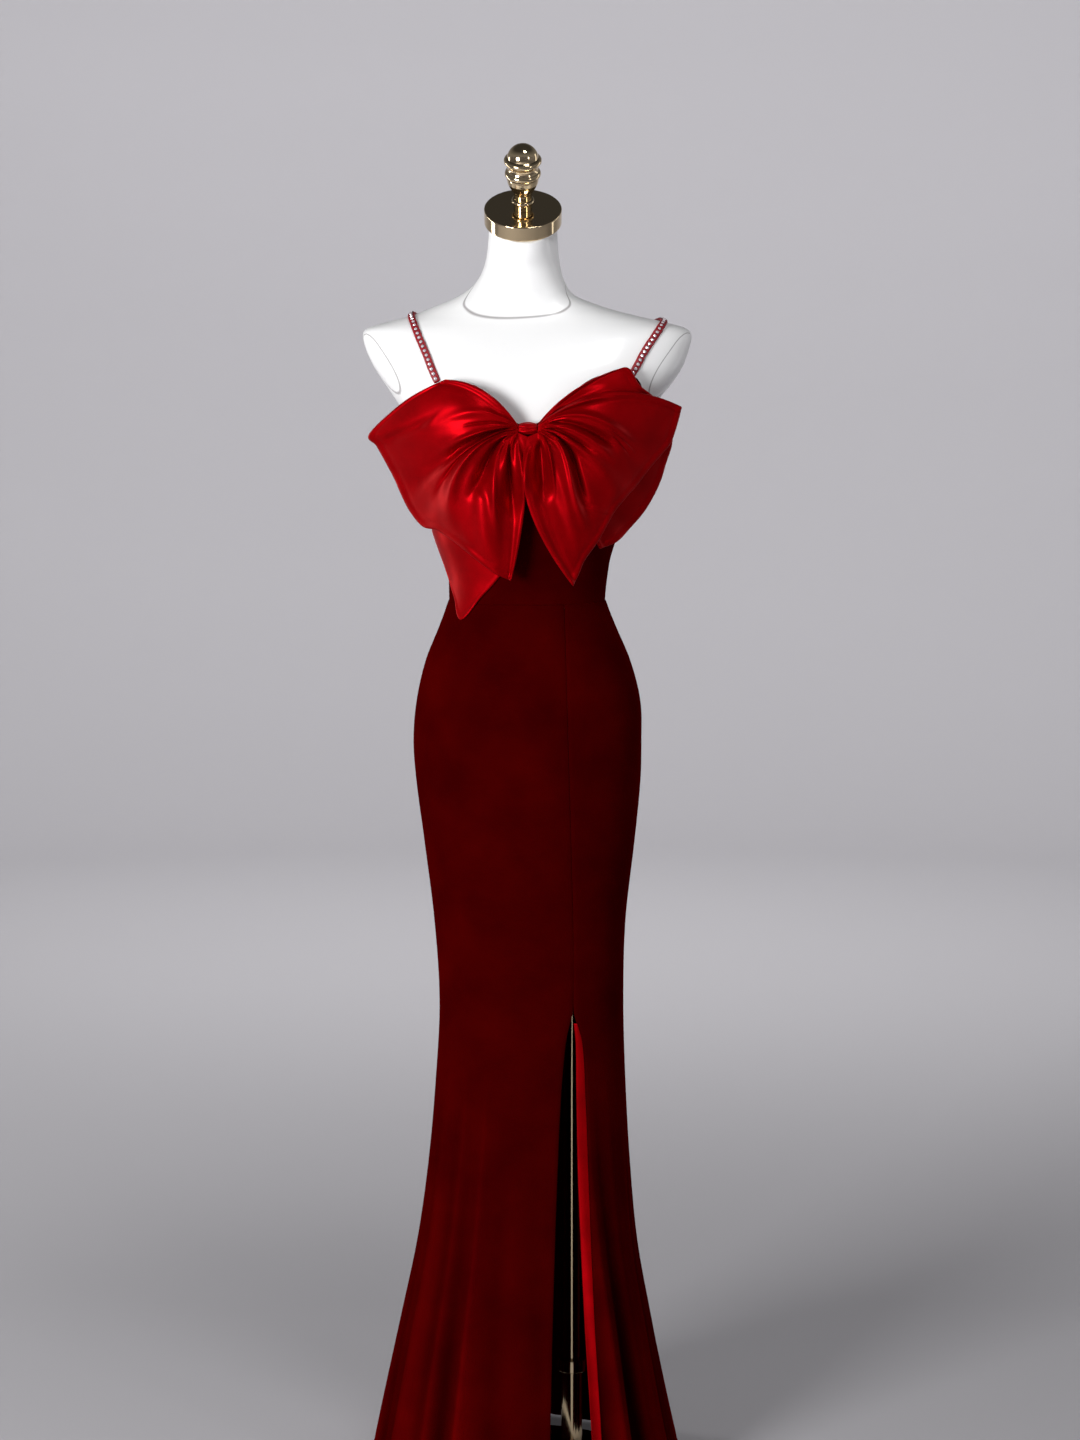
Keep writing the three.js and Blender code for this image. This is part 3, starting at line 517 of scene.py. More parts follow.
def wall(name, front, back, finish):
    """A closed wall of cloth between its front and back grids, with rounded edges."""
    rows, columns = front.shape[:2]
    count = rows * columns
    index = np.arange(count).reshape(rows, columns)
    edge = np.concatenate([index[0], index[1:, -1], index[-1, -2::-1], index[-2:0:-1, 0]])
    inner = np.clip(edge // columns, 1, rows - 2) * columns + np.clip(edge % columns, 1, columns - 2)
    front, back = front.reshape(-1, 3), back.reshape(-1, 3)
    away, through = front[edge] - front[inner], front[edge] - back[edge]
    out = 0.4 * np.linalg.norm(through, axis=1) / np.maximum(np.linalg.norm(away, axis=1), 1e-6)
    rim = (front[edge] + back[edge]) / 2 + away * out[:, None]
    new, following = 2 * count + np.arange(len(edge)), np.roll(edge, -1)
    after = np.roll(new, -1)
    faces = grid_faces(rows, columns) + grid_faces(rows, columns, count, flip=True)
    faces += np.stack([following, edge, new, after], axis=1).tolist()
    faces += np.stack([after, new, count + edge, count + following], axis=1).tolist()
    made = link(name, mesh_of(name, np.concatenate([front, back, rim]), faces), finish)
    outward(made)
    return made


def outward(made):
    """Turns a closed mesh's faces out, where its volume comes out below zero."""
    mesh = made.data
    corners = np.array([v.co for v in mesh.vertices])
    mesh.calc_loop_triangles()
    triangles = np.array([t.vertices for t in mesh.loop_triangles])
    a, b, c = (corners[triangles[:, i]] for i in range(3))
    if np.einsum("ij,ij->i", a, np.cross(b, c)).sum() < 0:
        mesh.flip_normals()


def held(profile, margin=0.5):
    """A profile with one more point close to each end of its long stretches, so that they shade flat."""
    kept = [profile[0]]
    for (r, z), (next_r, next_z) in zip(profile, profile[1:]):
        across, up = next_r - r, next_z - z
        length = math.hypot(across, up)
        if length > 4 * margin:
            part = margin / length
            kept += [(r + across * part, z + up * part), (next_r - across * part, next_z - up * part)]
        kept.append((next_r, next_z))
    return kept


def turned(name, profile, segments, finish, place=(0, 0, 0), tilt=0.0):
    """A turned part: a profile of radius and height, revolved about Z, tilted about X and placed.

    Where the profile closes on itself, its first and last rings are joined."""
    profile = np.array(held(profile), float)
    closed = np.allclose(profile[0], profile[-1])
    around = circle(segments)
    points = np.concatenate([np.stack([r * np.sin(around), -r * np.cos(around), np.full(segments, z)], axis=1)
                             for r, z in profile])
    faces = ring_faces(len(profile), segments, start=not closed, end=not closed)
    lean = np.array([[1, 0, 0], [0, math.cos(tilt), -math.sin(tilt)], [0, math.sin(tilt), math.cos(tilt)]])
    made = link(name, mesh_of(name, points @ lean.T + np.array(place), faces), finish)
    if closed:
        work = bmesh.new()
        work.from_mesh(made.data)
        bmesh.ops.remove_doubles(work, verts=work.verts, dist=1e-6)
        work.to_mesh(made.data)
        work.free()
    outward(made)
    made.data.set_sharp_from_angle(angle=math.radians(35))
    return made


def fractions(count, edge=0.004):
    """Even fractions from 0 to 1 with one more close to each end, which keeps the edges crisp."""
    return np.concatenate([[0, edge], np.linspace(0, 1, count)[1:-1], [1 - edge, 1]])


LEAST_FILL = 0.31    # the share of its flat size that a cut piece takes up at least


def run_lengths(grid, axis):
    """The lengths of a grid's lines along one axis."""
    return np.linalg.norm(np.diff(grid, axis=axis), axis=2).sum(axis=axis)


def cut_size(front):
    """The flat width, length and area of a sheet, measured on its front grid, in metres."""
    across, down = (run_lengths(front, axis).max() * MM for axis in (1, 0))
    u, v = front[1:, :-1] - front[:-1, :-1], front[:-1, 1:] - front[:-1, :-1]
    area = np.linalg.norm(np.cross(u, v), axis=2).sum() * MM**2
    return (across, down), min(max(area, LEAST_FILL * across * down), across * down)


def declare(made, node, body="figure"):
    """Puts a piece on the body it rides and hides the solid that it replaces."""
    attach(made, body)
    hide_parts(node)


def cloth(made, front, node, turned_under=0.0):
    """Works out a cloth piece's cut and prints it, and puts the piece on its body in place of its solid."""
    (across, down), area = cut_size(front)
    flat, area = (across + turned_under, down), area + turned_under * down
    declare(made, node)
    print(made.name, "cut", round(flat[0], 3), "x", round(flat[1], 3), "m, area", round(area, 4))


# %% [markdown]
# ## The form, its cap and its finial
#
# The form is laid up in a mould, so it has no seams but the thin joints of its plates. It is lofted
# through the same sections as the dress, a little smaller under the cloth. The neck's upper rings lean
# forward into the tilted cap. The finial and the cap are turned on a lathe, so a profile says all.

# %% Form
FORM_BOTTOM = 800.0
ROUNDING = 6.0     # of its lower edge
SLACK = 0.9        # how far the form lies inside the dress's shape
BARE = 1440.0      # above this height no cloth lies on it
NECK = {"x": -4.5, "y": -13.0, "tilt": math.radians(32), "start": 1552.0}

heights = np.concatenate([np.linspace(FORM_BOTTOM + ROUNDING, 1480, 150), np.linspace(1483, NECK_TOP, 90)])
around = np.linspace(-math.pi, math.pi, 180, endpoint=False)
inside = np.where(heights < BARE, -SLACK * (1 - smoothstep(heights, BARE - 40, BARE)), 0)
rings = on_body(around[None, :], heights[:, None], inside[:, None])
lean = smoothstep(heights, NECK["start"], NECK_TOP)[:, None]
rings[..., 2] += lean * math.tan(NECK["tilt"]) * (rings[..., 1] - NECK["y"])
rounding = [on_body(around, FORM_BOTTOM + ROUNDING * (1 - math.sin(a)), ROUNDING * (math.cos(a) - 1) - SLACK)
            for a in np.radians(np.linspace(90, 15, 6))]
rings = np.concatenate([np.array(rounding), rings])
form = link("form", mesh_of("form", rings.reshape(-1, 3), ring_faces(*rings.shape[:2])), lacquer)
form.data.set_sharp_from_angle(angle=math.radians(50))
outward(form)
declare(form, "form_torso")
print("form points", len(form.data.vertices))

# %% Cap and finial
SEAM = 0.3    # the gap between two pieces that touch
CAP = {"radius": 49.0, "thickness": 20.0}
STEM, URN, DOME, DOME_MIDDLE = 11.3, 19.4, 19.9, 69.6    # radii of the finial, and its dome's middle


def arc(middle, radius, start, end, count):
    """Points of a profile on an arc, with angles in degrees from the radius direction."""
    turns = np.radians(np.linspace(start, end, count))
    return [(middle[0] + radius * math.cos(a), middle[1] + radius * math.sin(a)) for a in turns]


def disc_profile(radius, thickness, edge, steps):
    """A flat disc with two rounded edges."""
    return [(0.01, 0), *arc((radius - edge, edge), edge, -90, 0, steps),
            *arc((radius - edge, thickness - edge), edge, 0, 90, steps), (0.01, thickness)]


def up_the_neck(distance):
    """A place on the tilted neck's axis, some millimetres above its top."""
    tilt = NECK["tilt"]
    return (NECK["x"], NECK["y"] - distance * math.sin(tilt), NECK_TOP + distance * math.cos(tilt))


cap = turned("cap", disc_profile(CAP["radius"], CAP["thickness"], 1.5, 6), 128, gold, up_the_neck(SEAM),
             NECK["tilt"])
finial_profile = [
    (0.01, 0), (STEM, 0), (STEM, 7.8), *arc((STEM, 10.9), 3.1, -90, 90, 11), (STEM, 14.2), (STEM, 21.5),
    (STEM + 0.7, 23.6), (STEM + 2, 25.4), (STEM + 4.4, 29.6), (STEM + 6.6, 33.8), (URN - 0.1, 37.4),
    (URN + 0.4, 40.4), (URN + 0.9, 43.2), *arc((URN - 1.9, 49.7), 5.2, -55, 58, 13), (URN - 0.4, 56.2),
    (URN - 0.9, 58.4), (URN - 0.3, 60.8), *arc((URN + 0.2, 67.8), 4.2, -68, 60, 12), (DOME + 0.5, 72.6),
    *arc((0, DOME_MIDDLE), DOME, 10, 89.9, 22)]
finial = turned("finial_turned", finial_profile, 96, gold, up_the_neck(2 * SEAM + CAP["thickness"]),
                NECK["tilt"])
declare(cap, "neck_cap")
declare(finial, "finial")
print("cap and finial points", len(cap.data.vertices), len(finial.data.vertices))

# %% [markdown]
# ## The stand
#
# A pole slides in a tube and is clamped by a collar with a screw. The parts are turned and plated like
# the cap. Only a slim strip of them shows through the slit, but they are whole all the way down.

# %% Stand
POLE = {"x": 59.0, "radius": 11.0, "bottom": 20.0}
TUBE = {"top": 151.0, "bottom": 8.3}
SCREW = [(0.01, 0), (3, 0), (3, 14), (6.6, 14), (8, 15.2), (8, 21.8), (6.6, 23), (0.01, 23)]


def ring_profile(inner, outer, height, edge=0.8):
    return [(inner, 0), (outer - edge, 0), *arc((outer - edge, edge), edge, -90, 0, 4),
            *arc((outer - edge, height - edge), edge, 0, 90, 4), (inner, height), (inner, 0)]


pole_length = FORM_BOTTOM - SEAM - POLE["bottom"]
rod = [(0.01, 0), (POLE["radius"], 0), (POLE["radius"], pole_length), (0.01, pole_length)]
for name, node, body, profile, segments, place, tilt in (
        ("base_plate", "base", "stand", disc_profile(155, 8, 3, 5), 160, (0, 0, 0), 0),
        ("tube", "lower_tube", "stand", ring_profile(11.4, 14, TUBE["top"] - TUBE["bottom"]), 64,
         (POLE["x"], 0, TUBE["bottom"]), 0),
        ("collar", "clamp_collar", "stand", ring_profile(14.3, 19, 16), 64,
         (POLE["x"], 0, TUBE["top"] - 16), 0),
        ("pole", "upper_pole", "figure", rod, 64, (POLE["x"], 0, POLE["bottom"]), 0),
        ("mount_ring", "mounting_ring", "figure", ring_profile(11.3, 32, 8), 72,
         (POLE["x"], 0, FORM_BOTTOM - SEAM - 8), 0),
        ("screw", "clamp_screw", "stand", SCREW, 48, (POLE["x"], 19.3, TUBE["top"] - 8), -math.pi / 2)):
    piece = turned(name, profile, segments, gold, place, tilt)
    declare(piece, node, body)
    print(name, "points", len(piece.data.vertices))

# %% [markdown]
# ## The skirt
#
# Four velvet panels hang from the waist seam. They could be one revolved shape, but a real skirt shows
# its seams as fine valleys, and the slit opens in one of them. Each panel is a grid between two seam
# lines, moved out from the body, with its side edges drawn in a little where the stitching holds them.

# %% Skirt panels
VELVET = 2.0         # wall of the velvet
EASE = 0.8           # room between the form and the cloth
PROUD = 0.6          # more room under the skirt
BACK_HEM = 3.0
SLIT_TOP = 632.0
FACING_TOP = 616.0
FOLD_RANGE = 15.0    # from the deepest valley to the highest ridge
SLIT = table("height front inner outer",
    [HEM, 28.5, 87, 97.5],
    [97, 29.5, 83, 93.2],
    [240, 32.5, 74, 84.5],
    [399, 37.4, 66.6, 77.6],
    [520, 42.5, 64, 73],
    [590, 48.5, 63, 69],
    [FACING_TOP, 53.6, 60.2, 62.6],
    [SLIT_TOP, 57.6, 58.2, 58.7],
    [760, 57, 57.3, 57.6],
    [WAIST, 46, 46.3, 46.6])


def seam_dip(distance, depth=0.9, width=2.2):
    """How far cloth is drawn in at a distance from its stitched edge."""
    return depth * bell(distance, width)


def seam_line(height, column):
    return angle_at(along(SLIT, "height", height, column), height)


def hem_at(angle):
    """The height of the hem: the skirt falls a little lower at the back."""
    return HEM + (BACK_HEM - HEM) * smoothstep(np.abs(np.degrees(angle)), 95, 150)


def skirt_panel(name, columns, start, end):
    heights = HEM + (WAIST - SEAM - HEM) * fractions(210, 0.0012)
    across = fractions(columns)
    first, last = start(heights), end(heights)
    angle = first[:, None] + (last - first)[:, None] * across[None, :]
    height = np.broadcast_to(heights[:, None], angle.shape)
    hem = hem_at(angle)
    height = height + (hem - HEM) * (1 - smoothstep(height, HEM, 90))
    girth = (reach(angle.mean(axis=1), heights) * (last - first))[:, None]
    to_edge = np.minimum(across[None, :], 1 - across[None, :]) * girth
    hem_roll = 0.8 * bell(height - hem - 5, 5) - 0.5 * bell(height - hem - 14, 3)
    seam_depth = 0.9 - 0.45 * smoothstep(height, SLIT_TOP, SLIT_TOP + 60)
    dips = seam_dip(to_edge, seam_depth) + seam_dip(WAIST - height, 0.7, 2.5)
    face = EASE + PROUD + VELVET + hem_roll - dips
    front = on_body(angle, height, face)
    back = on_body(angle, height, np.full(angle.shape, EASE + PROUD + 0.4))
    made = wall(name, front, back, skirt_velvet_fold_shaded)
    # Each point's fold height, which paints shade into the velvet's valleys and light onto its ridges.
    lie = np.clip(0.5 + fold_lift(np.degrees(angle), height) / FOLD_RANGE, 0, 1).ravel()
    shade = made.data.attributes.new("fold", "FLOAT", "POINT")
    values = np.full(len(made.data.vertices), 0.5)
    values[:2 * len(lie)] = np.tile(lie, 2)
    shade.data.foreach_set("value", values)
    cloth(made, front, name.replace("velvet_", ""))


def fixed(angle, side):
    """A seam in one direction, moved to a side by half a gap as it is at a reach of 100 mm."""
    return lambda heights: np.full(heights.shape, math.radians(angle) + side * SEAM / 2 / 100)


def slit_edge(column, beyond):
    """A panel's edge along the slit, an angle beyond one of its lines."""
    return lambda heights: seam_line(heights, column) + beyond


skirt_panel("velvet_skirt_front", 110, fixed(-90, 1), slit_edge("front", 0))
skirt_panel("velvet_skirt_side_front_right", 60, slit_edge("outer", 0.0036), fixed(90, -1))
skirt_panel("velvet_skirt_back_right", 90, fixed(90, 1), fixed(180, -1))
skirt_panel("velvet_skirt_back_left", 90, fixed(-180, 1), fixed(-90, -1))

# %% [markdown]
# ## The slit facing
#
# A strip of satin is turned in along the slit's edge, and its bright side shows as the slit opens. It
# could be a colour on the panel, but the real strip bends inwards behind the panel's edge.

# %% Slit facing
heights = HEM + (FACING_TOP - HEM) * fractions(140, 0.002)[:, None]
across = fractions(10, 0.03)[None, :]
inner, outer = seam_line(heights, "inner"), seam_line(heights, "outer")
angle = inner + (outer - inner) * across
lie = PROUD - 2.5 * (1 - across) ** 2
facing_front = on_body(angle, heights, EASE + VELVET + lie)
facing_back = on_body(angle, heights, EASE + 0.8 + lie)
facing = wall("satin_slit_facing", facing_front, facing_back, satin)
cloth(facing, facing_front, "slit_facing")

# %% [markdown]
# ## The bodice
#
# Three velvet panels are shaped over the cups and end in a sweetheart neckline. The top edge changes
# height around the body, so each panel's rows run from the straight waist seam up to that edge.

# %% Bodice panels
NECK_EASE = 3.4      # room that grows under the neckline
BACK_NECK = 1290.0
NECKLINE = table("angle height",
    [-180, BACK_NECK], [-142, BACK_NECK + 6], [-115, 1312], [-90, 1345], [-72, 1374], [-64, 1388],
    [-56, 1420], [-46, 1432], [-30, 1413], [-12, 1388], [0, 1380], [12, 1388], [30, 1422],
    [45, 1441], [59, 1440], [66, 1396], [74, 1372], [90, 1345], [115, 1312], [142, BACK_NECK + 6],
    [180, BACK_NECK])


def bodice_panel(name, columns, start, end):
    up = fractions(70, 0.004)[:, None]
    across = fractions(columns, 0.003)[None, :]
    angle = math.radians(start) + math.radians(end - start) * across + np.zeros_like(up)
    top = along(NECKLINE, "angle", np.degrees(angle), "height")
    height = WAIST + (top - WAIST) * up
    loose = NECK_EASE * smoothstep(height, 1370, 1400)
    to_edge = np.minimum(across, 1 - across) * math.radians(end - start) * 110
    roll = 0.7 * bell(top - height - 3, 3) - 0.4 * bell(top - height - 8, 2.5)
    face = EASE + VELVET + loose - seam_dip(to_edge) + roll - seam_dip(height - WAIST, 0.8, 3)
    front = on_body(angle, height, face)
    back = on_body(angle, height, EASE + 0.3 + loose)
    made = wall(name, front, back, velvet)
    cloth(made, front, name.replace("velvet_", ""))


bodice_panel("velvet_bodice_front", 150, -89.9, 89.9)
bodice_panel("velvet_bodice_back_right", 70, 90.1, 179.9)
bodice_panel("velvet_bodice_back_left", 70, -179.9, -90.1)

# %% [markdown]
# ## The bow
#
# Each sheet of the bow is satin gathered into the knot, so its folds run out from there like the ribs of
# a fan. The cloth could be simulated, but every fold of this bow has its own place. So each sheet is a
# fan of curves: a curve leaves the knot, is drawn towards a middle handle and ends at the sheet's edge.
# The folds rise and sink from one curve to the next, deepest near the knot.

# %% Fans of the bow
FAN_COLUMNS = "x y z handle_x handle_y handle_z fold"
BOW_LEFT = table(FAN_COLUMNS,
    [-101, -107, 1437, -47, -132, 1437, 3],
    [-129, -100, 1424, -62, -146, 1425, -1],
    [-160, -84, 1404, -74, -154, 1414, 3],
    [-198, -60, 1368, -84, -160, 1400, 1],
    [-189, -56, 1353, -86, -162, 1388, 2],
    [-178, -54, 1333, -84, -162, 1380, 5],
    [-167, -53, 1312, -80, -160, 1374, 1],
    [-158, -53, 1291, -76, -158, 1368, -9],
    [-147, -55, 1270, -86, -160, 1366, 2],
    [-131, -62, 1252, -98, -158, 1362, 7],
    [-112, -82, 1248, -98, -156, 1350, 8],
    [-89, -100, 1234, -88, -154, 1345, 2],
    [-69, -110, 1219, -68, -152, 1335, -9],
    [-43, -117, 1199, -46, -152, 1318, 7],
    [-30, -120, 1192, -26, -152, 1302, -8],
    [-19, -122, 1187, 3, -150, 1275, 4])

BOW_RIGHT = table(FAN_COLUMNS,
    [195, -62, 1402, 96, -136, 1451, 4],
    [190, -62, 1382, 98, -152, 1428, -3],
    [182, -62, 1358, 96, -160, 1412, 2],
    [172, -64, 1345, 92, -162, 1398, 5],
    [161, -68, 1333, 88, -162, 1386, 0],
    [149, -74, 1318, 84, -162, 1376, 3],
    [137, -82, 1303, 82, -162, 1366, -1],
    [123, -94, 1288, 80, -160, 1360, 3],
    [109, -104, 1271, 74, -158, 1354, -8],
    [91, -112, 1239, 62, -158, 1340, 3],
    [73, -120, 1214, 44, -158, 1325, 8],
    [66, -124, 1198, 24, -158, 1308, -8],
    [58, -128, 1182, -24, -154, 1290, 5])

BOW_BACK = table(FAN_COLUMNS,
    [110, -104, 1449, 48, -126, 1427, 2],
    [127, -98, 1451, 62, -129, 1424, -1],
    [141, -90, 1430, 76, -132, 1414, 2],
    [160, -74, 1414, 84, -134, 1408, 0],
    [180, -55, 1386, 88, -136, 1394, 1],
    [184, -48, 1358, 88, -136, 1378, 0],
    [176, -46, 1330, 86, -136, 1362, 2],
    [170, -46, 1310, 84, -134, 1350, 0],
    [161, -46, 1290, 80, -132, 1338, 1],
    [148, -50, 1269, 74, -130, 1328, 0],
    [131, -58, 1250, 66, -128, 1318, 1],
    [114, -76, 1234, 58, -126, 1310, 0],
    [92, -92, 1226, 48, -124, 1304, 0])

SATIN = 1.4    # wall of the satin
ON_BODICE = EASE + VELVET + SEAM
print("curves of the fans", [len(rows["fold"]) for rows in (BOW_LEFT, BOW_RIGHT, BOW_BACK)])

# %% [markdown]
# ## Creases of the gathered satin
#
# Gathering crushes the cloth at the knot into sharp pleats. They open as they run outwards and fade
# before the hem. Each crease gets its own row: where it starts and ends along the curves, where it lies
# across the fan, and its width and depth. A groove has a depth below zero.

# %% Crease tables
CREASE_COLUMNS = "start end across_start across_middle across_end width depth"

CREASES_LEFT = table(CREASE_COLUMNS,
    [0.02, 0.64, 0.32, 0.425, 0.462, 0.026, -13],
    [0.03, 0.7, 0.27, 0.365, 0.4, 0.03, 4],
    [0.08, 0.62, 0.4, 0.48, 0.51, 0.02, 3],
    [0.06, 1, 0.57, 0.655, 0.715, 0.034, 6],
    [0.06, 0.86, 0.5, 0.59, 0.62, 0.036, -6],
    [0.05, 0.72, 0.7, 0.785, 0.762, 0.022, -9],
    [0.1, 0.78, 0.78, 0.84, 0.885, 0.018, 4],
    [0.06, 0.66, 0.83, 0.925, 0.957, 0.018, -8],
    [0.04, 0.56, 0.92, 0.978, 0.998, 0.014, 4],
    [0.05, 0.6, 0.1, 0.13, 0.2, 0.03, 2],
    [0.04, 0.44, 0.19, 0.215, 0.26, 0.016, -2.5],
    [0.62, 1, 0.19, 0.235, 0.262, 0.03, -3],
    [0.55, 1, 0.8, 0.83, 0.85, 0.03, 3],
    [0.25, 1.35, 1, 1, 1, 0.085, -8],
    [0.3, 1.3, 0.78, 0.8, 0.8, 0.05, 3])

CREASES_RIGHT = table(CREASE_COLUMNS,
    [0.05, 0.56, 0.9, 0.93, 0.945, 0.02, -10],
    [0.04, 0.56, 0.76, 0.848, 0.915, 0.018, 5],
    [0.08, 0.46, 0.97, 0.99, 1, 0.014, 4],
    [0.04, 0.9, 0.46, 0.715, 0.738, 0.026, -9],
    [0.1, 0.94, 0.62, 0.768, 0.775, 0.02, 4],
    [0.05, 0.66, 0.02, 0.028, 0.04, 0.016, 3],
    [0.05, 0.86, 0.06, 0.18, 0.32, 0.03, 5],
    [0.03, 0.76, 0.14, 0.3, 0.4, 0.038, -8],
    [0.04, 0.6, 0.34, 0.47, 0.54, 0.03, -6],
    [0.08, 0.8, 0.28, 0.4, 0.48, 0.03, 3],
    [0.54, 0.86, 0.25, 0.31, 0.36, 0.007, 1.4],
    [0.6, 0.84, 0.29, 0.345, 0.39, 0.006, -1.2],
    [0.72, 1.02, 0.78, 0.72, 0.668, 0.008, 1.6])

CREASES_BACK = table(CREASE_COLUMNS,
    [0.05, 0.9, 0.06, 0.11, 0.16, 0.03, 2.5],
    [0.05, 0.8, 0.16, 0.24, 0.3, 0.03, -4],
    [0.3, 0.95, 0.62, 0.64, 0.66, 0.06, 2])
print("creases", [len(rows["depth"]) for rows in (CREASES_LEFT, CREASES_RIGHT, CREASES_BACK)])


def creases(out, across, rows):
    """How far the creases lift the cloth over a fan's grid."""
    lift = np.zeros(np.broadcast_shapes(out.shape, across.shape))
    for i in range(len(rows["start"])):
        row = {key: rows[key][i] for key in rows}
        t = np.clip((out - row["start"]) / (row["end"] - row["start"]), 0, 1)
        centre = (row["across_start"] * (1 - t) * (1 - 2 * t) + row["across_middle"] * 4 * t * (1 - t)
                  + row["across_end"] * t * (2 * t - 1))
        shown = smoothstep(t, 0, 0.2) * (1 - smoothstep(t, 0.62, 1))
        lift += row["depth"] * shown * bell(across - centre, row["width"])
    return 1.5 * lift


def gathers(out, across, count, height):
    """Small ribs where the cloth is crushed at the knot, uneven in width and gone a little further out."""
    wander = across + 0.012 * np.sin(23 * across + 1) + 0.02 * out * np.sin(9 * across)
    ribs = np.sin(2 * math.pi * count * wander) + 0.5 * np.sin(2 * math.pi * count * 0.43 * wander + 2)
    return height * ribs * smoothstep(out, 0, 0.05) * (1 - smoothstep(out, 0.08, 0.34))


# %% Bow sheets
def fan(name, node, lines, folds, ends, columns, least, tuck=0.0):
    """One satin sheet: curves from the knot to its edge, with folds that fade towards the edge."""
    out = fractions(110, 0.006)[:, None]
    across = fractions(columns, 0.002)[None, :]
    line = {key: row_at(lines, across[0], key) for key in lines}
    first, last = (np.array(point)[:, None] for point in ends)
    start = first + (last - first) * across
    start = start + np.array([tuck, 0, -4.5])[:, None] * smoothstep(across, 0.9, 1.0) * (tuck != 0)
    end = [line[key] for key in ("x", "y", "z")]
    handle = [line[key] for key in ("handle_x", "handle_y", "handle_z")]
    keep, draw, go = (1 - out) ** 2, 2 * out * (1 - out), out**2
    points = np.stack([keep * s[None, :] + draw * h + go * e for s, h, e in zip(start, handle, end)], axis=-1)
    length, width = run_lengths(points, 0)[None, :], run_lengths(points, 1)[:, None]
    rise = line["fold"] * 2.2 * out**0.7 * (1 - out) ** 1.3
    hem = 0.9 * bell((1 - out) * length - 2.5, 2.4) - 0.5 * bell((1 - out) * length - 8, 2.5)
    side = np.minimum(across, 1 - across) * width
    lip = (2.6 * bell(side - 2.5, 3) - 1.2 * bell(side - 9, 3.5)) * smoothstep(out, 0.1, 0.3)
    points[..., 1] -= rise + hem + lip + creases(out, across, folds) + gathers(out, across, 15, 0.7)
    front = kept_off(points, least)
    back = front + np.array([0, SATIN, 0])
    made = wall(name, front, back, satin)
    cloth(made, front, node)


fan("satin_bow_back", "bow_back", BOW_BACK, CREASES_BACK, ((14.4, -119, 1382), (14.4, -119, 1372)), 120,
    ON_BODICE + 4)
fan("satin_bow_left", "bow_left", BOW_LEFT, CREASES_LEFT, ((-10.4, -129, 1381), (-10.4, -131, 1371)), 300,
    ON_BODICE + 7, 12.5)
fan("satin_bow_right", "bow_right", BOW_RIGHT, CREASES_RIGHT, ((14.4, -129, 1381), (14.4, -131, 1371)), 280,
    ON_BODICE + 10, -13.0)

# %% [markdown]
# ## The under tail and the knot
#
# A second layer hangs under the left tail and lies on the bodice, so its rows follow the body. The knot
# is a strip wound over the gathers. A squeezed cube could stand for it, but a roll made from rings along
# its axis takes the small pleats that run over it from side to side.

# %% Under tail
UNDER_TAIL = table("angle top bottom",
    [-86, 1252, 1240], [-78, 1258, 1200], [-67, 1264, 1163], [-55, 1268, 1134],
    [-41, 1268, 1160], [-28, 1268, 1180], [-17, 1268, 1200])

down = fractions(40, 0.01)[:, None]
across = fractions(80, 0.005)[None, :]
cut = {key: row_at(UNDER_TAIL, across, key) for key in UNDER_TAIL}
height = cut["top"] + (cut["bottom"] - cut["top"]) * down
angle = cut["angle"] + np.zeros_like(height)
lift = 1.6 + 3 * bell(angle + 66, 16) * bell(height - 1225, 30)
hem = 0.8 * bell(height - cut["bottom"] - 2.5, 2.4)
tail_front = on_body(np.radians(angle), height, EASE + VELVET + lift + hem + 1.6)
tail_back = on_body(np.radians(angle), height, EASE + VELVET + lift + 0.2)
tail = wall("satin_tail_under_left", tail_front, tail_back, satin)
cloth(tail, tail_front, "tail_under_left")

# %% Knot
KNOT_MIDDLE = 2.0, -122.9, 1377.0
KNOT_HALF = 11.5, 12.0, 7.5    # half its width, depth and height

across = np.linspace(-1, 1, 49)[:, None]
around = circle(120)[None, :]
pleat = 1 + 0.05 * np.sin(9 * around + 2.0 * across) + 0.03 * np.sin(17 * around - 1.5 * across)
size = np.sqrt(1 - 0.45 * across**2) * pleat
shape = np.stack([across + 0 * size, size * np.cos(around), size * np.sin(around)], axis=-1)
points = (KNOT_MIDDLE + KNOT_HALF * shape).reshape(-1, 3)
knot = link("satin_knot", mesh_of("satin_knot", points, ring_faces(*size.shape)), satin)
knot.data.set_sharp_from_angle(angle=math.radians(60))
outward(knot)
declare(knot, "bow_knot")
print("knot points", len(knot.data.vertices))

# %% [markdown]
# ## The straps and their stones
#
# Each strap is a narrow woven band that lies on the form, with one row of stones set close together.
# The stones follow the band's own frame, so they stand square to it over the shoulder. Each is a low cut
# crown with eight sides in a silver cup. A row makes two joined meshes, one of stones and one of cups.

# %% Straps
STRAP_LEFT = table("x y z",
    [-114, -95, 1437], [-120, -93, 1452], [-132, -80, 1485], [-147, -20, 1519],
    [-145, 30, 1519], [-132, 82, 1470], [-112, 97, 1390], [-96, 97, 1302])
STRAP_RIGHT = table("x y z",
    [135, -92, 1446], [142, -88, 1460], [156, -74, 1488], [174, -20, 1510],
    [168, 30, 1513], [148, 80, 1468], [122, 97, 1390], [102, 97, 1302])
STRAP = {"width": 7.5, "thickness": 2.4}
TURNED_UNDER = 0.0025    # both edges of the ribbon, turned to the wrong side
STONE = {"radius": 2.2, "pitch": 6.6, "height": 1.9, "lift": 0.25}


def route(rows, count):
    """Evenly spaced points on the body along a strap's route."""
    line = np.stack([row_at(rows, np.linspace(0, 1, 600), key) for key in ("x", "y", "z")], axis=-1)
    fine = seated(line, 0.0)
    way = np.concatenate([[0], np.cumsum(np.linalg.norm(np.diff(fine, axis=0), axis=1))])
    at = np.linspace(0, way[-1], count)
    return np.stack([np.interp(at, way, fine[:, k]) for k in range(3)], axis=-1), way[-1]


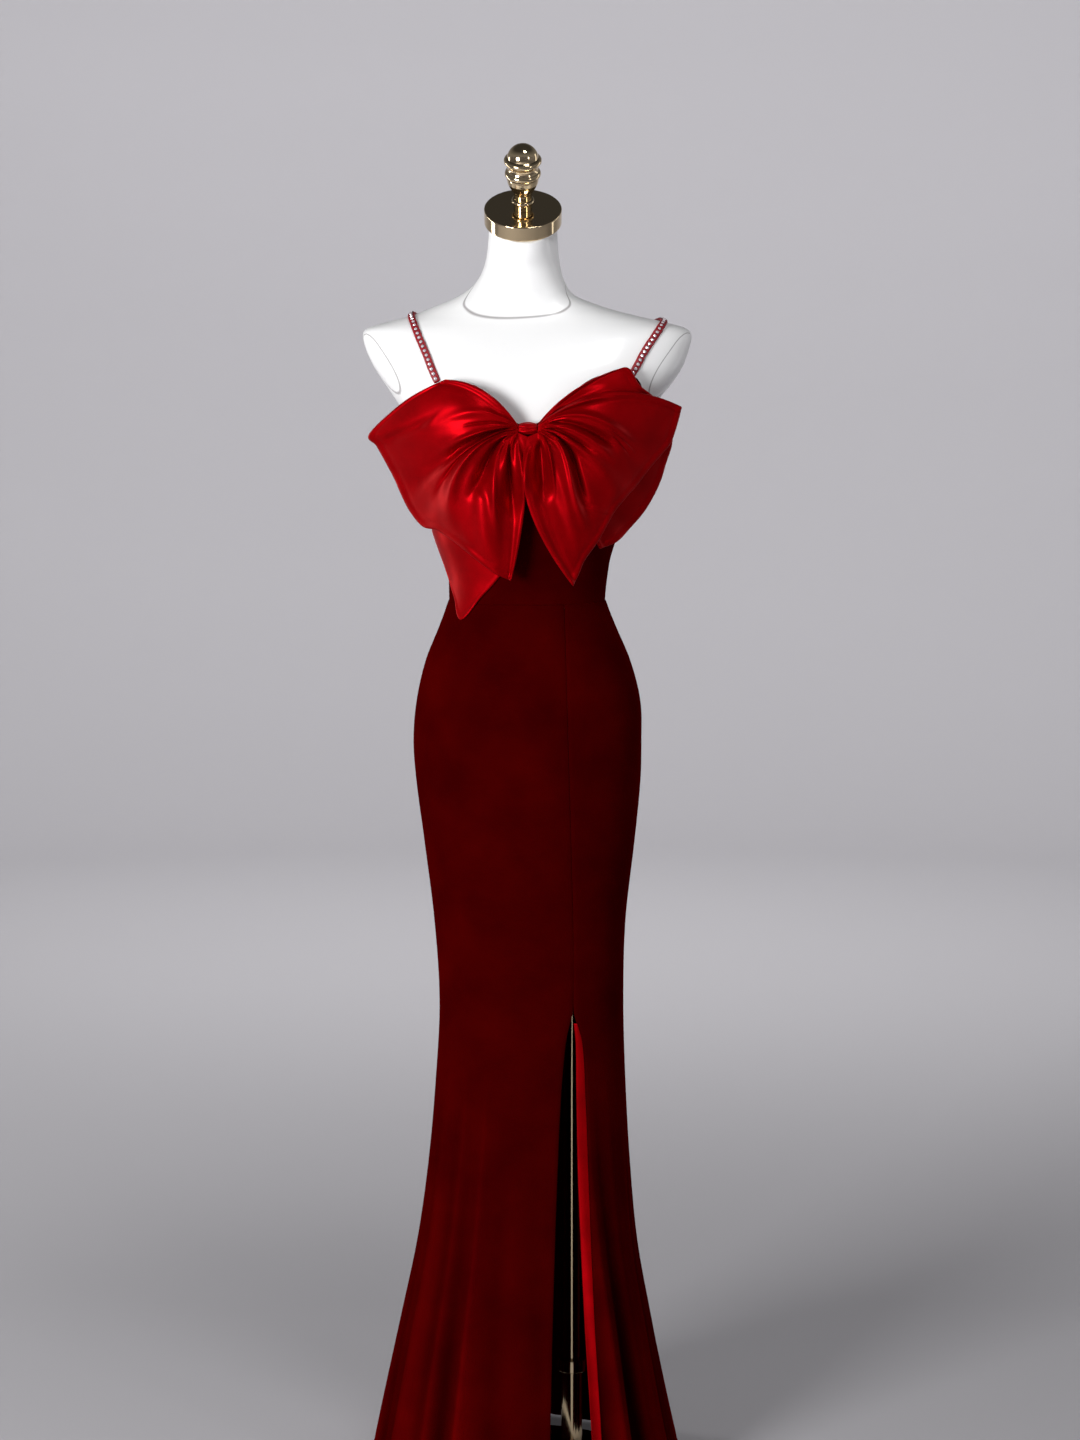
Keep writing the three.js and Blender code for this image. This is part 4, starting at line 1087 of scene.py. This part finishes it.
def strap_frame(middle):
    """The outward and sideways directions along a strap."""
    _, out = off_body(middle)
    side = np.cross(np.gradient(middle, axis=0), out)
    return out, side / np.linalg.norm(side, axis=1)[:, None]


def strap(name, rows, node):
    middle, length = route(rows, 160)
    out, side = strap_frame(middle)
    across = np.array([-1, -0.96, -0.8, -0.5, -0.2, 0.2, 0.5, 0.8, 0.96, 1])

    def face(rise):
        places = middle[:, None, :] + side[:, None, :] * (across * STRAP["width"] / 2)[None, :, None]
        crown = 0.5 * (1 - across**2)[None, :] * (rise > EASE) + np.zeros((len(middle), 1))
        return seated(places, rise + crown)

    front, back = face(EASE + STRAP["thickness"]), face(EASE)
    made = wall(name, front, back, band)
    cloth(made, front, node, TURNED_UNDER)
    count = int(length / STONE["pitch"])
    places = route(rows, 2 * count + 1)[0][1::2]
    stones(name.replace("band", "stones"), places, *strap_frame(places))


def stones(name, places, normals, sides):
    """A row of cut stones and one of their silver cups, each as a joined mesh."""
    crown = [(0.0, 1.0), (0.45, 1.0), (0.92, 0.55), (1.0, 0.35), (0.7, 0.0)]
    cup = [(1.12, 0.0), (1.12, 0.3), (1.03, 0.4), (0.97, 0.25), (0.97, 0.0)]
    for label, profile, segments, finish in (("stone", crown, 8, stone), ("cup", cup, 16, silver)):
        points, faces = [], []
        for centre, out, side in zip(places, normals, sides):
            ahead = np.cross(out, side)
            foot = centre + out * (EASE + STRAP["thickness"] + STONE["lift"])
            faces += ring_faces(len(profile), segments, len(points))
            for r, h in profile:
                radius = max(r, 0.02) * STONE["radius"]
                rise = foot + out * h * STONE["height"]
                points += [rise + (side * math.cos(a) + ahead * math.sin(a)) * radius
                           for a in circle(segments)]
        title = f"{name}_{label}"
        made = link(title, mesh_of(title, np.array(points), faces, smooth=label == "cup"), finish)
        outward(made)
        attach(made, "figure")
    print(name, "has", len(places), "stones")


strap("band_left", STRAP_LEFT, "strap_left")
strap("band_right", STRAP_RIGHT, "strap_right")

# %% [markdown]
# ## The zip
#
# The back closes with a hidden zip, so only its slider and hanging pull show. They are small cast parts
# with red enamel, and the frame's own shapes are right, so they just get their finish.

# %% Zip finish
for name in ("zip_slider", "zip_pull"):
    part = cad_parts[name]
    part.data.materials.clear()
    part.data.materials.append(enamel)
print("zip finished with", enamel.name)
